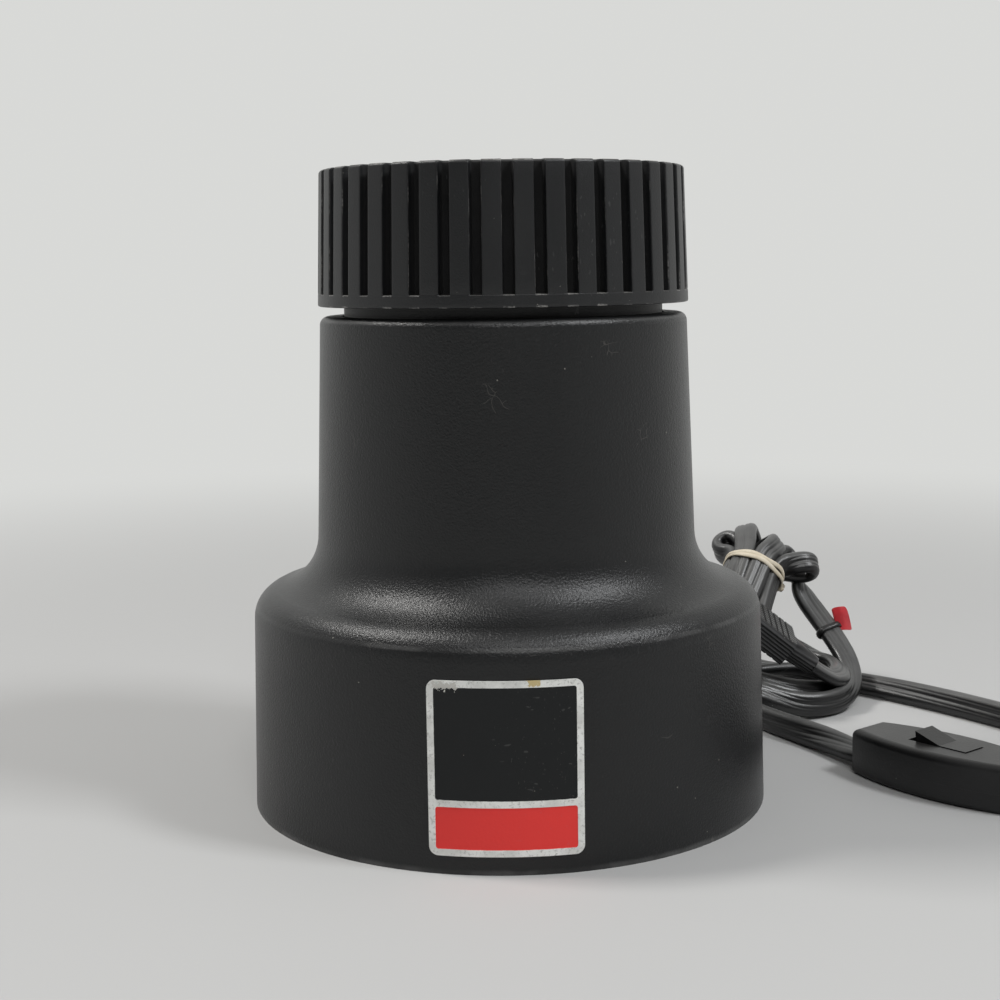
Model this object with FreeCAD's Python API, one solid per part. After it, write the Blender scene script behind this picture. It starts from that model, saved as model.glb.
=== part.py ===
import FreeCAD, Part
import math
import os

# Enlarger lamphouse head, in millimetres.
# Origin: centre of the drum's bottom rim. +Z is the optical axis, -Y is the name plate side.
# The cap, its collar and the lamp turn and draw up out of the housing's mouth as one group.

Vector = FreeCAD.Vector
UP = Vector(0, 0, 1)
BACK = Vector(0, 1, 0)

# ---- driving dimensions -------------------------------------------------------------------

# Shared small values: overrun of cutting tools, gap between faces that bear on each other.
overrun = 1.0
bearing_gap = 0.02

# Cast housing: a drafted drum, a sloping shoulder and a drafted stack.
housing_wall = 2.6
drum_base_radius = 76.2
drum_taper = 1.3
drum_edge_drop = 4.8
shoulder_edge_radius = 8.4
shoulder_slope = 14.0
shoulder_fillet = 16.0
shoulder_step = 20.6
stack_taper = 2.2
mouth_rim_radius = 2.5
mouth_flange = 3.0
lug_radius = 4.4
lug_tip_radius = 1.8
lug_web = 5.3
lug_height = 22.0
lug_inset = 6.94
lug_count = 3
lug_first_angle = 30.0

# Collar that slides in the mouth, and the split ring that grips it.
mouth_wall = 7.1
collar_wall = 1.5
collar_reach = 26.0
mouth_gap = 0.6
slide_fit = 0.05
grip_ring_wall = 2.4
grip_ring_height = 9.0
grip_ring_slit = 3.0
grip_ring_float = 0.15
keeper_thickness = 1.2
keeper_bite = 1.1
keeper_bore_gap = 0.9
keeper_opening = 10.0
seat_taper = 3.0

# Ribbed cap.
cap_gap = 2.9
cap_height = 38.5
cap_overhang = 0.4
cap_taper = 1.3
cap_top_round = 0.9
cap_crown = 3.0
cap_dish_depth = 1.0
cap_dish_margin = 3.4
groove_count = 36
groove_width = 3.8
groove_depth = 2.6
groove_first_angle = -88.5
groove_band = 3.5
cap_inner_wall = 2.0
cap_boss_radius = 4.0
cap_boss_inset = 11.8

# Bridge under the crown, which carries the socket and joins cap and collar.
bridge_thickness = 1.6
bridge_hub_radius = 22.0
bridge_arm_width = 12.0
bridge_arm_count = 3
bridge_first_angle = 30.0
bridge_tab_height = 12.0
bridge_drop = 9.8
bridge_play = 0.1
rivet_radius = 1.6
rivet_head_radius = 2.8
rivet_head = 0.7
rivet_crown_radius = 1.7
rivet_tail_radius = 2.2
rivet_seat = 0.1
screw_radius = 1.5
screw_head_radius = 2.9
screw_head = 2.0
screw_fit = 0.1
screw_head_round = 0.6
screw_slot_width = 0.7
screw_slot_depth = 0.8
screw_tip_room = 0.5
slot_turn = Vector(0.3, 0.5, 0.8)
cap_screw_reach = 7.0

# Lamp and its screw socket.
lamp_length = 105.0
lamp_clearance = 6.3
bulb_radius = 30.0
bulb_neck_radius = 12.4
bulb_glass = 1.1
neck_lead = 1.0
neck_reach = 6.0
lamp_base_radius = 13.05
lamp_base_length = 23.0
lamp_base_wall = 0.5
lamp_base_shoulder = 3.0
insulator_radius = 8.0
insulator_play = 0.1
insulator_rim = 0.6
insulator_height = 2.5
tip_radius = 4.5
tip_height = 1.5
tip_crown_radius = 2.2
socket_radius = 20.0
socket_neck_radius = 16.6
socket_skirt = 17.0
socket_crown = 1.8
socket_taper = 3.0
socket_round = 1.2
socket_lip = 1.0
socket_shell_lip = 2.0
socket_shell_head = 4.0
socket_shell_wall = 0.5
socket_shell_play = 0.15
contact_width = 7.0
contact_thickness = 0.8
contact_play = 0.1
contact_end_gap = 0.4
terminal_offset = 10.5
lead_entry_drop = 6.0
lead_entry_play = 0.6

# Condenser lenses in their cell, and the base ring that holds the cell.
lens_margin = 26.2
lens_edge = 3.5
lens_sag = 16.5
lens_vertex_gap = 1.5
lens_play = 0.2
cell_wall = 2.2
cell_seat_height = 13.5
cell_seat_thickness = 1.5
cell_seat_width = 3.0
cell_top_margin = 4.0
cell_flange_width = 8.1
cell_flange = 2.5
cell_screw_inset = 4.6
spacer_wall = 1.8
retainer_thickness = 1.6
retainer_width = 3.0
retainer_slit = 12.0
retainer_bite = 0.9
base_ring_thickness = 4.0
base_ring_recess = 3.0
base_ring_play = 0.2
base_screw_reach = 9.0

# Name plate: a thin curved plate with two sunk fields.
plate_width = 40.6
plate_height = 46.4
plate_bottom = 5.2
plate_offset = -1.0
plate_thickness = 0.5
plate_corner = 2.4
field_corner = 1.2
plate_border = 1.8
plate_divider = 1.8
plate_band_height = 11.2
plate_sink = 0.15
plate_glue = 0.25

# Cable gland at the back of the drum.
gland_height = 16.0
gland_flange_radius = 8.5
gland_flange = 4.0
gland_round = 1.0
gland_seat = 0.1
gland_bore_play = 0.8
gland_shank_radius = 6.0
gland_inside = 6.5
gland_hole_play = 0.2
gland_nut_flats = 16.0
gland_nut_thickness = 4.0
nut_play = 0.05
relief_length = 32.0
relief_start_radius = 6.2
relief_end_radius = 4.4
relief_bore_play = 0.4
relief_tip = 3.0

# Flat two-core lead: its solids are plain round tubes between the lead's width and thickness.
lead_radius = 2.9
inner_lead_radius = 2.0
inner_lead_gap = 0.3

# Inner lead's turning points, each a step from a named corner on its way up.
inner_lead_clear = 4.6
inner_lane_clear = 1.6
inner_lead_steps = {
    "gland": [Vector(0.0, 0.0, 0.0), Vector(0.0, -5.0, 0.8)],
    "cell": [Vector(0.3, 0.0, 7.0), Vector(0.0, 0.8, 20.0), Vector(0.3, 0.6, 39.6)],
    "rim": [Vector(0.0, -2.6, 10.0)],
    "lane": [Vector(0.3, 0.0, 28.0), Vector(0.0, -0.8, 54.0), Vector(0.3, -1.6, 76.0)],
    "turn": [Vector(0.0, -5.0, -10.0), Vector(0.3, -12.0, -1.0)],
    "neck": [Vector(0.0, 0.2, 0.0)],
}

# Tied hank of the lead: an oblique spindle with a waist under the rubber band.
hank_centre = Vector(90.6, 117.0, 43.3)
hank_axis = Vector(0.40, 0.66, 0.635)
hank_waist = 9.6
hank_lower_profile = [(-38.0, 5.0), (-31.0, 9.6), (-19.0, 10.4)]
hank_upper_profile = [(9.0, 13.0), (17.0, 15.5), (24.0, 9.0)]
band_width = 4.0
band_thickness = 1.2
band_play = 0.1
band_margin = 0.5

# In-line switch on the lead.
switch_start = Vector(111.0, 13.0, 0.0)
switch_heading = -50.0
switch_length = 58.0
switch_width = 25.0
switch_height = 14.2
switch_wall = 1.8
switch_end_width = 14.0
switch_joint_height = 5.8
switch_round = 2.2
switch_lead_height = 3.9
switch_lead_gap = 0.36
switch_foot = 0.2
switch_foot_round = 1.3
port_play = 0.4
rocker_length = 9.0
rocker_width = 8.4
rocker_angle = 9.0
rocker_valley = 5.0
rocker_foot = 3.0
rocker_pivot_height = 9.5
rocker_play = 0.3
rocker_taper = 1.6
rocker_underside = 0.4
pin_radius = 1.0
pin_fit = 0.05
pin_bearing = 2.0
pin_press = 0.01
ear_length = 7.0
ear_thickness = 2.2
ear_top_gap = 0.5
post_wall = 0.7
post_top_gap = 1.0
case_screw_inset = 15.0
case_screw_edge = 5.6
case_screw_sink = 0.4
case_screw_reach = 8.0
strip_length = 15.0
strip_width = 3.0
strip_thickness = 0.8
strip_offset = 7.4
strip_riser = 2.8

# Two-blade plug on the end of the lead.
plug_tail = Vector(106.0, 79.0, 17.0)
plug_axis = Vector(-0.785, -0.02, 0.62)
plug_side = Vector(0.1, 1.0, 0.1)
plug_relief_length = 12.0
plug_relief_end_radius = 3.4
plug_relief_radius = 4.6
plug_body_length = 23.0
plug_body_width = 21.0
plug_body_thickness = 9.6
plug_round = 2.0
plug_lead_straight = 7.0
plug_rib_count = 6
plug_rib_pitch = 2.6
plug_rib_start = 3.0
plug_rib_groove = 1.0
plug_rib_depth = 0.5
blade_spacing = 12.7
blade_length = 16.0
blade_width = 6.3
blade_thickness = 1.5
blade_tip_round = 1.2
blade_hole_radius = 1.6
blade_hole_inset = 4.0

# Small red tag on the lead's outer loop.
tag_start = Vector(119.6, 106.5, 24.0)
tag_length = 11.0
tag_height = 8.0
tag_thickness = 1.2

# Routes of the lead where it isn't in the hank: points of straight runs joined by tangent arcs.
lead_out_straight = 11.7
lead_out_route = [
    Vector(7.0, 135.5, 12.8),
    Vector(22.0, 142.0, 7.6),
    Vector(37.0, 138.0, 4.6),
    Vector(50.0, 126.0, 4.4),
    Vector(61.0, 110.0, 4.4),
    Vector(71.0, 93.0, 4.4),
    Vector(79.0, 75.0, 4.4),
    Vector(86.0, 57.5, 4.4),
    Vector(95.0, 42.0, 4.4),
    Vector(104.0, 28.0, 4.2),
]
lead_back_route = [
    Vector(158.0, -43.0, 4.2),
    Vector(173.0, -49.0, 4.4),
    Vector(188.0, -42.0, 4.4),
    Vector(195.0, -26.0, 4.4),
    Vector(192.5, -5.0, 4.4),
    Vector(185.5, 18.0, 4.4),
    Vector(175.0, 42.0, 4.4),
    Vector(160.0, 66.0, 4.4),
    Vector(143.0, 89.0, 4.4),
    Vector(127.0, 107.0, 3.8),
    Vector(115.0, 115.5, 3.6),
    Vector(103.0, 120.5, 3.8),
    Vector(91.0, 121.0, 6.2),
    Vector(80.5, 116.0, 12.0),
    Vector(72.9, 106.7, 20.9),
]
outer_loop_route = [
    Vector(77.1, 90.9, 19.1),
    Vector(77.0, 83.0, 15.0),
    Vector(83.0, 79.5, 12.8),
    Vector(92.0, 79.5, 10.0),
    Vector(101.0, 80.0, 7.8),
    Vector(110.0, 82.5, 6.6),
    Vector(115.0, 87.5, 5.8),
    Vector(116.0, 93.5, 6.4),
    Vector(113.0, 98.5, 8.4),
    Vector(104.0, 99.5, 10.8),
    Vector(95.0, 98.5, 11.6),
    Vector(86.0, 96.5, 11.4),
    Vector(78.0, 95.0, 10.9),
    Vector(70.0, 93.5, 10.7),
    Vector(61.0, 90.0, 6.4),
    Vector(53.5, 85.5, 4.4),
    Vector(51.0, 79.0, 4.4),
    Vector(56.0, 73.0, 4.4),
    Vector(65.0, 70.0, 7.6),
    Vector(75.0, 68.8, 11.6),
    Vector(84.0, 68.6, 11.4),
    Vector(93.0, 69.2, 7.2),
    Vector(101.0, 70.5, 4.6),
    Vector(110.0, 73.5, 4.4),
    Vector(118.5, 80.0, 4.8),
    Vector(123.5, 89.0, 7.6),
    Vector(124.0, 98.0, 13.5),
    Vector(119.5, 106.5, 22.0),
    Vector(111.5, 114.0, 31.5),
    Vector(102.2, 121.9, 40.3),
]
plug_lead_route = [
    Vector(91.2, 107.7, 25.6),
    Vector(98.0, 107.5, 20.6),
    Vector(106.0, 107.0, 16.4),
    Vector(113.5, 104.0, 13.6),
    Vector(117.5, 98.0, 13.3),
    Vector(117.8, 89.0, 12.7),
    Vector(115.8, 82.0, 12.2),
]

# ---- heights and radii that follow from them ----------------------------------------------

drum_top_radius = drum_base_radius - drum_taper
stack_base_radius = drum_base_radius - shoulder_step
stack_top_radius = stack_base_radius - stack_taper
collar_radius = stack_top_radius - mouth_wall
cap_bottom_radius = stack_top_radius + cap_overhang
cap_top_radius = cap_bottom_radius - cap_taper
lens_radius = drum_base_radius - lens_margin
cell_bore = lens_radius + lens_play
cell_radius = cell_bore + cell_wall
cell_flange_radius = cell_radius + cell_flange_width
cell_screw_circle = cell_radius + cell_screw_inset
lower_lens_bottom = cell_seat_height
lower_lens_edge_top = lower_lens_bottom + lens_edge
upper_lens_top = lower_lens_bottom + 2.0 * (lens_edge + lens_sag) + lens_vertex_gap
upper_lens_edge_bottom = upper_lens_top - lens_edge
retainer_top = upper_lens_top + retainer_thickness
cell_top = retainer_top + cell_top_margin
base_ring_top = base_ring_recess + base_ring_thickness
drum_edge_height = cell_top - drum_edge_drop
drum_draft = drum_taper / drum_edge_height
lug_circle = drum_base_radius - drum_draft * base_ring_top - housing_wall - lug_inset
lamp_bottom = upper_lens_top + lamp_clearance
lamp_top = lamp_bottom + lamp_length
lamp_base_top = lamp_top - tip_height - insulator_height
lamp_base_bottom = lamp_base_top - lamp_base_length
contact_top = lamp_top + contact_thickness + contact_play
bridge_bottom = contact_top + socket_crown
bridge_top = bridge_bottom + bridge_thickness
cap_ceiling = bridge_top + bridge_drop
cap_top = cap_ceiling + cap_dish_depth + cap_crown
cap_bottom = cap_top - cap_height
housing_height = cap_bottom - cap_gap
cap_draft = math.degrees(math.atan2(cap_taper, cap_height))
cap_floor_bottom = cap_bottom_radius - groove_depth
cap_floor_top = cap_top_radius - groove_depth
collar_top = bridge_top + bridge_play
collar_bottom = housing_height - collar_reach
collar_bore = collar_radius - collar_wall
cap_boss_circle = collar_bore - cap_boss_inset
mouth_radius = collar_radius + mouth_gap
ring_bore = collar_radius + slide_fit
ring_radius = ring_bore + grip_ring_wall
seat_radius = ring_radius + slide_fit
ring_top = housing_height - mouth_flange - grip_ring_float
ring_bottom = ring_top - grip_ring_height
keeper_top = ring_bottom - grip_ring_float
keeper_bottom = keeper_top - keeper_thickness
seat_bottom = keeper_bottom - keeper_thickness
socket_shell_bore = lamp_base_radius + socket_shell_play
socket_bore = socket_shell_bore + socket_shell_wall + socket_shell_play
socket_bottom = lamp_base_bottom - socket_lip
lead_entry = bridge_bottom - lead_entry_drop
drum_widest = max(drum_base_radius, drum_top_radius)
gland_face = drum_widest - abs(drum_draft) * (gland_height - gland_flange_radius) + gland_seat
gland_end = gland_face - housing_wall - gland_inside
relief_start = gland_face + gland_flange
relief_end = relief_start + relief_length


# ---- helpers ------------------------------------------------------------------------------

def polar(radius, angle, height=0.0):
    turn = math.radians(angle)
    return Vector(radius * math.cos(turn), radius * math.sin(turn), height)


def spaced(count, first):
    return [first + 360.0 * index / count for index in range(count)]


def line(start, end):
    return Part.LineSegment(Vector(*start), Vector(*end)).toShape()


def section_arc(centre, radius, first, last):
    """Arc in the X-Z plane about centre = (x, z), from angle first to angle last."""
    points = []
    for angle in (first, (first + last) / 2.0, last):
        turn = math.radians(angle)
        points.append(Vector(centre[0] + radius * math.cos(turn), 0, centre[1] + radius * math.sin(turn)))
    return Part.Arc(*points).toShape()


def ends(edge):
    return edge.firstVertex(True).Point, edge.lastVertex(True).Point


def turned(edges):
    """Solid of revolution about Z from edges in the X-Z plane, closed with straight edges."""
    chain = [edges[0]]
    for edge in edges[1:]:
        gap_start = ends(chain[-1])[1]
        gap_end = ends(edge)[0]
        if gap_start.distanceToPoint(gap_end) > 1e-6:
            chain.append(line(gap_start, gap_end))
        chain.append(edge)
    first, last = ends(chain[0])[0], ends(chain[-1])[1]
    if first.distanceToPoint(last) > 1e-6:
        chain.append(line(last, first))
    face = Part.Face(Part.Wire(chain))
    return face.revolve(Vector(0, 0, 0), UP, 360)


def turned_polygon(points):
    """Solid of revolution about Z from (radius, height) corners."""
    corners = [Vector(radius, 0, height) for radius, height in points]
    face = Part.Face(Part.makePolygon(corners + corners[:1]))
    return face.revolve(Vector(0, 0, 0), UP, 360)


def tube(outer, inner, bottom, top):
    return turned_polygon([(inner, bottom), (outer, bottom), (outer, top), (inner, top)])


def rod(radius, start, direction, length):
    return Part.makeCylinder(radius, length, start, direction)


def group(solids):
    return Part.makeCompound(solids)


def local_frame(origin, along, side):
    """Placement whose X runs along `along` and whose Y is as near as can be to `side`."""
    x = Vector(along).normalize()
    z = x.cross(side).normalize()
    y = z.cross(x)
    matrix = FreeCAD.Matrix(
        x.x, y.x, z.x, origin.x,
        x.y, y.y, z.y, origin.y,
        x.z, y.z, z.z, origin.z,
        0, 0, 0, 1)
    return FreeCAD.Placement(matrix)


def placed(shape, placement):
    moved = shape.copy()
    moved.Placement = placement.multiply(shape.Placement)
    return moved


def lead_tube(name, route, radius):
    """Round tube along straight runs joined by arcs as large as the runs allow."""
    edges = []
    radii = []
    start = route[0]
    for before, here, after in zip(route, route[1:], route[2:]):
        run_in = here - before
        run_out = after - here
        tangent = 0.45 * min(run_in.Length, run_out.Length)
        half_turn = run_in.getAngle(run_out) / 2.0
        into = Vector(run_in).normalize()
        out = Vector(run_out).normalize()
        bend = tangent / math.tan(half_turn)
        towards = (out - into).normalize()
        middle = here + towards * (bend / math.cos(half_turn) - bend)
        arc_start = here - into * tangent
        arc_end = here + out * tangent
        edges.append(Part.LineSegment(start, arc_start).toShape())
        edges.append(Part.Arc(arc_start, middle, arc_end).toShape())
        radii.append(bend)
        start = arc_end
    edges.append(Part.LineSegment(start, route[-1]).toShape())
    spine = Part.Wire(edges)
    profile = Part.Wire(Part.makeCircle(radius, route[0], route[1] - route[0]))
    shape = spine.makePipeShell([profile], True, False)
    solid = Part.Solid(shape) if shape.ShapeType == "Shell" else shape
    share = solid.Volume / (math.pi * radius ** 2 * spine.Length)
    print(name, "length", round(spine.Length, 1), "volume share", round(share, 4),
          "radii", [round(value, 1) for value in radii])
    return solid


# ---- housing ------------------------------------------------------------------------------

def housing_outline(inset):
    """Edges of the housing's wall from the base to the stack's top, `inset` in from outside."""
    edge_centre = (drum_top_radius - shoulder_edge_radius, drum_edge_height)
    edge_radius = shoulder_edge_radius - inset
    slope_angle = 90.0 - shoulder_slope
    fillet_start = 270.0 - shoulder_slope
    slope = math.radians(shoulder_slope)
    edge_end_x = edge_centre[0] + shoulder_edge_radius * math.cos(math.radians(slope_angle))
    edge_end_z = edge_centre[1] + shoulder_edge_radius * math.sin(math.radians(slope_angle))
    fillet_x = stack_base_radius + shoulder_fillet
    meet_x = fillet_x + shoulder_fillet * math.cos(math.radians(fillet_start))
    meet_z = edge_end_z + (edge_end_x - meet_x) * math.tan(slope)
    fillet_z = meet_z - shoulder_fillet * math.sin(math.radians(fillet_start))
    fillet_radius = shoulder_fillet + inset
    foot = Vector(drum_base_radius - inset, 0, 0)
    edge_arc = section_arc(edge_centre, edge_radius, 0.0, slope_angle)
    fillet_arc = section_arc((fillet_x, fillet_z), fillet_radius, fillet_start, 180.0)
    side = line(foot, ends(edge_arc)[0])
    return [side, edge_arc, line(ends(edge_arc)[1], ends(fillet_arc)[0]), fillet_arc]


def drum_radius_at(height, inset=0.0):
    return drum_base_radius - drum_draft * height - inset


def lamphouse_shell():
    outer = housing_outline(0.0)
    rim = section_arc((stack_top_radius - mouth_rim_radius, housing_height - mouth_rim_radius),
                      mouth_rim_radius, 0.0, 90.0)
    outer.append(line(ends(outer[-1])[1], ends(rim)[0]))
    outer.append(rim)
    inner = housing_outline(housing_wall)
    stack_bore_top = stack_top_radius - housing_wall
    bore_end = ends(inner[-1])[1]
    mouth = [
        (mouth_radius, housing_height),
        (mouth_radius, housing_height - mouth_flange),
        (seat_radius, housing_height - mouth_flange),
        (seat_radius, keeper_top + slide_fit),
        (seat_radius + keeper_bite, keeper_top + slide_fit),
        (seat_radius + keeper_bite, keeper_bottom - slide_fit),
        (seat_radius, keeper_bottom - slide_fit),
        (seat_radius, seat_bottom),
        (stack_bore_top, seat_bottom - seat_taper),
        (bore_end.x, bore_end.z),
    ]
    corners = [Vector(radius, 0, height) for radius, height in mouth]
    mouth_edges = [line(start, end) for start, end in zip(corners, corners[1:])]
    inner_edges = []
    for edge in reversed(inner):
        start, end = ends(edge)
        if isinstance(edge.Curve, Part.Line):
            inner_edges.append(line(end, start))
        else:
            middle = edge.valueAt((edge.FirstParameter + edge.LastParameter) / 2.0)
            inner_edges.append(Part.Arc(end, middle, start).toShape())
    shell = turned(outer + mouth_edges + inner_edges)
    shell = shell.fuse(screw_lugs())
    shell = shell.cut(group(base_screw_holes()))
    gland_hole = rod(gland_shank_radius + gland_hole_play, Vector(0, gland_end, gland_height), BACK,
                     gland_face - gland_end + overrun)
    return shell.cut(gland_hole).removeSplitter()


def screw_lugs():
    """Bosses inside the drum, joined to its wall by a web, with sloped tops."""
    lugs = []
    web_reach = drum_radius_at(base_ring_top, housing_wall / 2.0) - lug_circle
    for angle in spaced(lug_count, lug_first_angle):
        boss = rod(lug_radius, polar(lug_circle, 0, base_ring_top), UP, lug_height)
        web = Part.makeBox(web_reach, lug_web, lug_height,
                           Vector(lug_circle, -lug_web / 2.0, base_ring_top))
        tip = Part.makeCone(lug_radius, lug_tip_radius, lug_radius,
                            polar(lug_circle, 0, base_ring_top + lug_height))
        lug = boss.fuse([web, tip])
        lug.rotate(Vector(0, 0, 0), UP, angle)
        lugs.append(lug)
    return lugs


def base_screw_holes():
    holes = []
    for angle in spaced(lug_count, lug_first_angle):
        holes.append(rod(screw_radius + screw_fit, polar(lug_circle, angle, -overrun), UP,
                         overrun + base_ring_top + base_screw_reach + screw_tip_room))
    return holes


def grip_ring():
    ring = tube(ring_radius, ring_bore, ring_bottom, ring_top)
    slit = Part.makeBox(grip_ring_wall + 2.0 * overrun, grip_ring_slit, grip_ring_height + 2.0 * overrun,
                        Vector(ring_bore - overrun, -grip_ring_slit / 2.0, ring_bottom - overrun))
    slit.rotate(Vector(0, 0, 0), UP, 90.0)
    return ring.cut(slit)


def keeper_ring():
    """Open ring that snaps into the groove under the grip ring."""
    outer = seat_radius + keeper_bite - 2.0 * slide_fit
    ring = tube(outer, collar_radius + keeper_bore_gap, keeper_bottom, keeper_top)
    opening = Part.makeBox(outer - collar_radius + 2.0 * overrun, keeper_opening,
                           keeper_thickness + 2.0 * overrun,
                           Vector(collar_radius - overrun, -keeper_opening / 2.0, keeper_bottom - overrun))
    opening.rotate(Vector(0, 0, 0), UP, -90.0)
    return ring.cut(opening)


# ---- cap, collar and bridge ---------------------------------------------------------------

def vent_cap():
    inner_bottom = cap_floor_bottom - cap_inner_wall
    inner_top = cap_floor_top - cap_inner_wall
    dish_radius = cap_floor_top - cap_dish_margin
    crown_arc = section_arc((cap_top_radius - cap_top_round, cap_top - cap_top_round),
                            cap_top_round, 0.0, 90.0)
    outside = [line((inner_bottom, 0, cap_bottom), (cap_bottom_radius, 0, cap_bottom)),
               line((cap_bottom_radius, 0, cap_bottom), ends(crown_arc)[0]),
               crown_arc]
    crown = [Vector(dish_radius + cap_dish_depth, 0, cap_top),
             Vector(dish_radius, 0, cap_top - cap_dish_depth),
             Vector(0, 0, cap_top - cap_dish_depth),
             Vector(0, 0, cap_ceiling),
             Vector(inner_top, 0, cap_ceiling)]
    inside = [line(start, end) for start, end in zip(crown, crown[1:])]
    cap = turned(outside + inside)
    bosses = []
    for angle in spaced(bridge_arm_count, bridge_first_angle):
        bosses.append(rod(cap_boss_radius, polar(cap_boss_circle, angle, bridge_top), UP,
                          bridge_drop + cap_crown / 2.0))
    cap = cap.fuse(bosses)
    holes = []
    for angle in spaced(bridge_arm_count, bridge_first_angle):
        holes.append(rod(screw_radius + screw_fit, polar(cap_boss_circle, angle, bridge_top - overrun), UP,
                         overrun + cap_screw_reach + screw_tip_room))
    return cap.cut(group(cap_grooves() + holes)).removeSplitter()


def cap_grooves():
    """Square-bottomed grooves that follow the cap's draft and run out at its top."""
    grooves = []
    bottom = cap_bottom + groove_band
    floor = cap_floor_bottom
    for angle in spaced(groove_count, groove_first_angle):
        groove = Part.makeBox(groove_depth + 3.0 * overrun, groove_width, cap_height + 2.0 * overrun,
                              Vector(floor, -groove_width / 2.0, bottom))
        groove.rotate(Vector(floor, 0, cap_bottom), BACK, -cap_draft)
        groove.rotate(Vector(0, 0, 0), UP, angle)
        grooves.append(groove)
    return grooves


def collar():
    sleeve = tube(collar_radius, collar_bore, collar_bottom, collar_top)
    return sleeve.cut(group(rivet_holes()))


def rivet_places():
    height = bridge_bottom - bridge_tab_height / 2.0
    return [(angle, height) for angle in spaced(bridge_arm_count, bridge_first_angle)]


def rivet_holes():
    inside = bridge_thickness + rivet_head + overrun
    return [rod(rivet_radius + screw_fit, polar(collar_bore - inside, angle, height), polar(1, angle),
                inside + collar_wall + overrun)
            for angle, height in rivet_places()]


def socket_bridge():
    hub = rod(bridge_hub_radius, Vector(0, 0, bridge_bottom), UP, bridge_thickness)
    arm_end = collar_bore - bridge_play
    shape = hub
    for angle in spaced(bridge_arm_count, bridge_first_angle):
        arm = Part.makeBox(arm_end, bridge_arm_width, bridge_thickness,
                           Vector(0, -bridge_arm_width / 2.0, bridge_bottom))
        tab = Part.makeBox(bridge_thickness + 2.0 * overrun, bridge_arm_width,
                           bridge_tab_height + bridge_thickness,
                           Vector(arm_end - bridge_thickness - 2.0 * overrun, -bridge_arm_width / 2.0,
                                  bridge_bottom - bridge_tab_height))
        bow = tube(arm_end, arm_end - bridge_thickness, bridge_bottom - bridge_tab_height, bridge_top)
        arm = arm.common(rod(arm_end, Vector(0, 0, bridge_bottom), UP, bridge_thickness))
        arm = arm.fuse(tab.common(bow))
        arm.rotate(Vector(0, 0, 0), UP, angle)
        shape = shape.fuse(arm)
    holes = rivet_holes()
    places = [polar(cap_boss_circle, angle) for angle in spaced(bridge_arm_count, bridge_first_angle)]
    places += [Vector(side * terminal_offset, 0, 0) for side in (-1, 1)]
    for place in places:
        holes.append(rod(screw_radius + screw_fit, place + UP * (bridge_bottom - overrun), UP,
                         bridge_thickness + 2.0 * overrun))
    return shape.cut(group(holes)).removeSplitter()


def collar_rivets():
    solids = []
    tail_start = collar_bore - bridge_play - bridge_thickness - rivet_head
    head_start = collar_radius + rivet_seat
    for angle, height in rivet_places():
        outward = polar(1, angle)
        start = outward * tail_start + UP * height
        shank = rod(rivet_radius, start, outward, head_start + rivet_head - tail_start)
        head = Part.makeCone(rivet_head_radius, rivet_crown_radius, rivet_head,
                             outward * head_start + UP * height, outward)
        tail = rod(rivet_tail_radius, start, outward, rivet_head - rivet_seat)
        solids.append(shank.fuse([head, tail]))
    return group(solids)


def slotted_screw(head_place, direction, reach):
    """Pan-head screw: head_place is the face the head bears on, direction the way in."""
    head = Part.makeCylinder(screw_head_radius, screw_head, head_place - direction * screw_head, direction)
    rim = [edge for edge in head.Edges
           if edge.BoundBox.Center.distanceToPoint(head_place - direction * screw_head) < bearing_gap]
    head = head.makeFillet(screw_head_round, rim)
    shank = rod(screw_radius, head_place, direction, reach)
    across = direction.cross(slot_turn).normalize()
    slot_frame = local_frame(head_place - direction * screw_head, across, direction)
    slot = Part.makeBox(4.0 * screw_head_radius, 2.0 * screw_slot_depth, screw_slot_width,
                        Vector(-2.0 * screw_head_radius, -screw_slot_depth, -screw_slot_width / 2.0))
    slot = placed(slot, slot_frame)
    return head.fuse(shank).cut(slot)


def cap_screws():
    return group([slotted_screw(polar(cap_boss_circle, angle, bridge_bottom), UP,
                                bridge_thickness + cap_screw_reach)
                  for angle in spaced(bridge_arm_count, bridge_first_angle)])


# ---- lamp and socket ----------------------------------------------------------------------

def bulb_edges(inset):
    """Pear outline from the lower pole to the neck, `inset` in from the glass's outside."""
    radius = bulb_radius - inset
    neck = bulb_neck_radius - inset
    neck_start = lamp_base_bottom - neck_lead
    centre = lamp_bottom + bulb_radius
    rise = neck_start - centre
    reach = math.hypot(neck, rise)
    tangent_angle = math.degrees(math.atan2(rise, neck) - math.acos(radius / reach))
    ball = section_arc((0.0, centre), radius, -90.0, tangent_angle)
    return [ball, line(ends(ball)[1], (neck, 0, neck_start)),
            line((neck, 0, neck_start), (neck, 0, lamp_base_bottom + neck_reach))]


def lamp_bulb():
    open_end = lamp_base_bottom + neck_reach
    outside = turned(bulb_edges(0.0) + [line((0, 0, open_end), (0, 0, lamp_bottom))])
    inside = turned(bulb_edges(bulb_glass) + [line((0, 0, open_end), (0, 0, lamp_bottom + bulb_glass))])
    return outside.cut(inside)


def lamp_base():
    """Rolled screw shell, plain here, with its shoulder over the glass insulator."""
    outer, wall = lamp_base_radius, lamp_base_wall
    shoulder = lamp_base_top - lamp_base_shoulder
    return turned_polygon([
        (outer - wall, lamp_base_bottom), (outer, lamp_base_bottom),
        (outer, shoulder), (insulator_radius, lamp_base_top),
        (insulator_radius - wall, lamp_base_top - wall), (outer - wall, shoulder - wall)])


def lamp_insulator():
    bottom = lamp_base_top + bearing_gap
    top = lamp_base_top + insulator_height
    return turned_polygon([
        (0, bottom), (insulator_radius - insulator_play, bottom),
        (tip_radius + insulator_rim, top), (0, top)])


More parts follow.
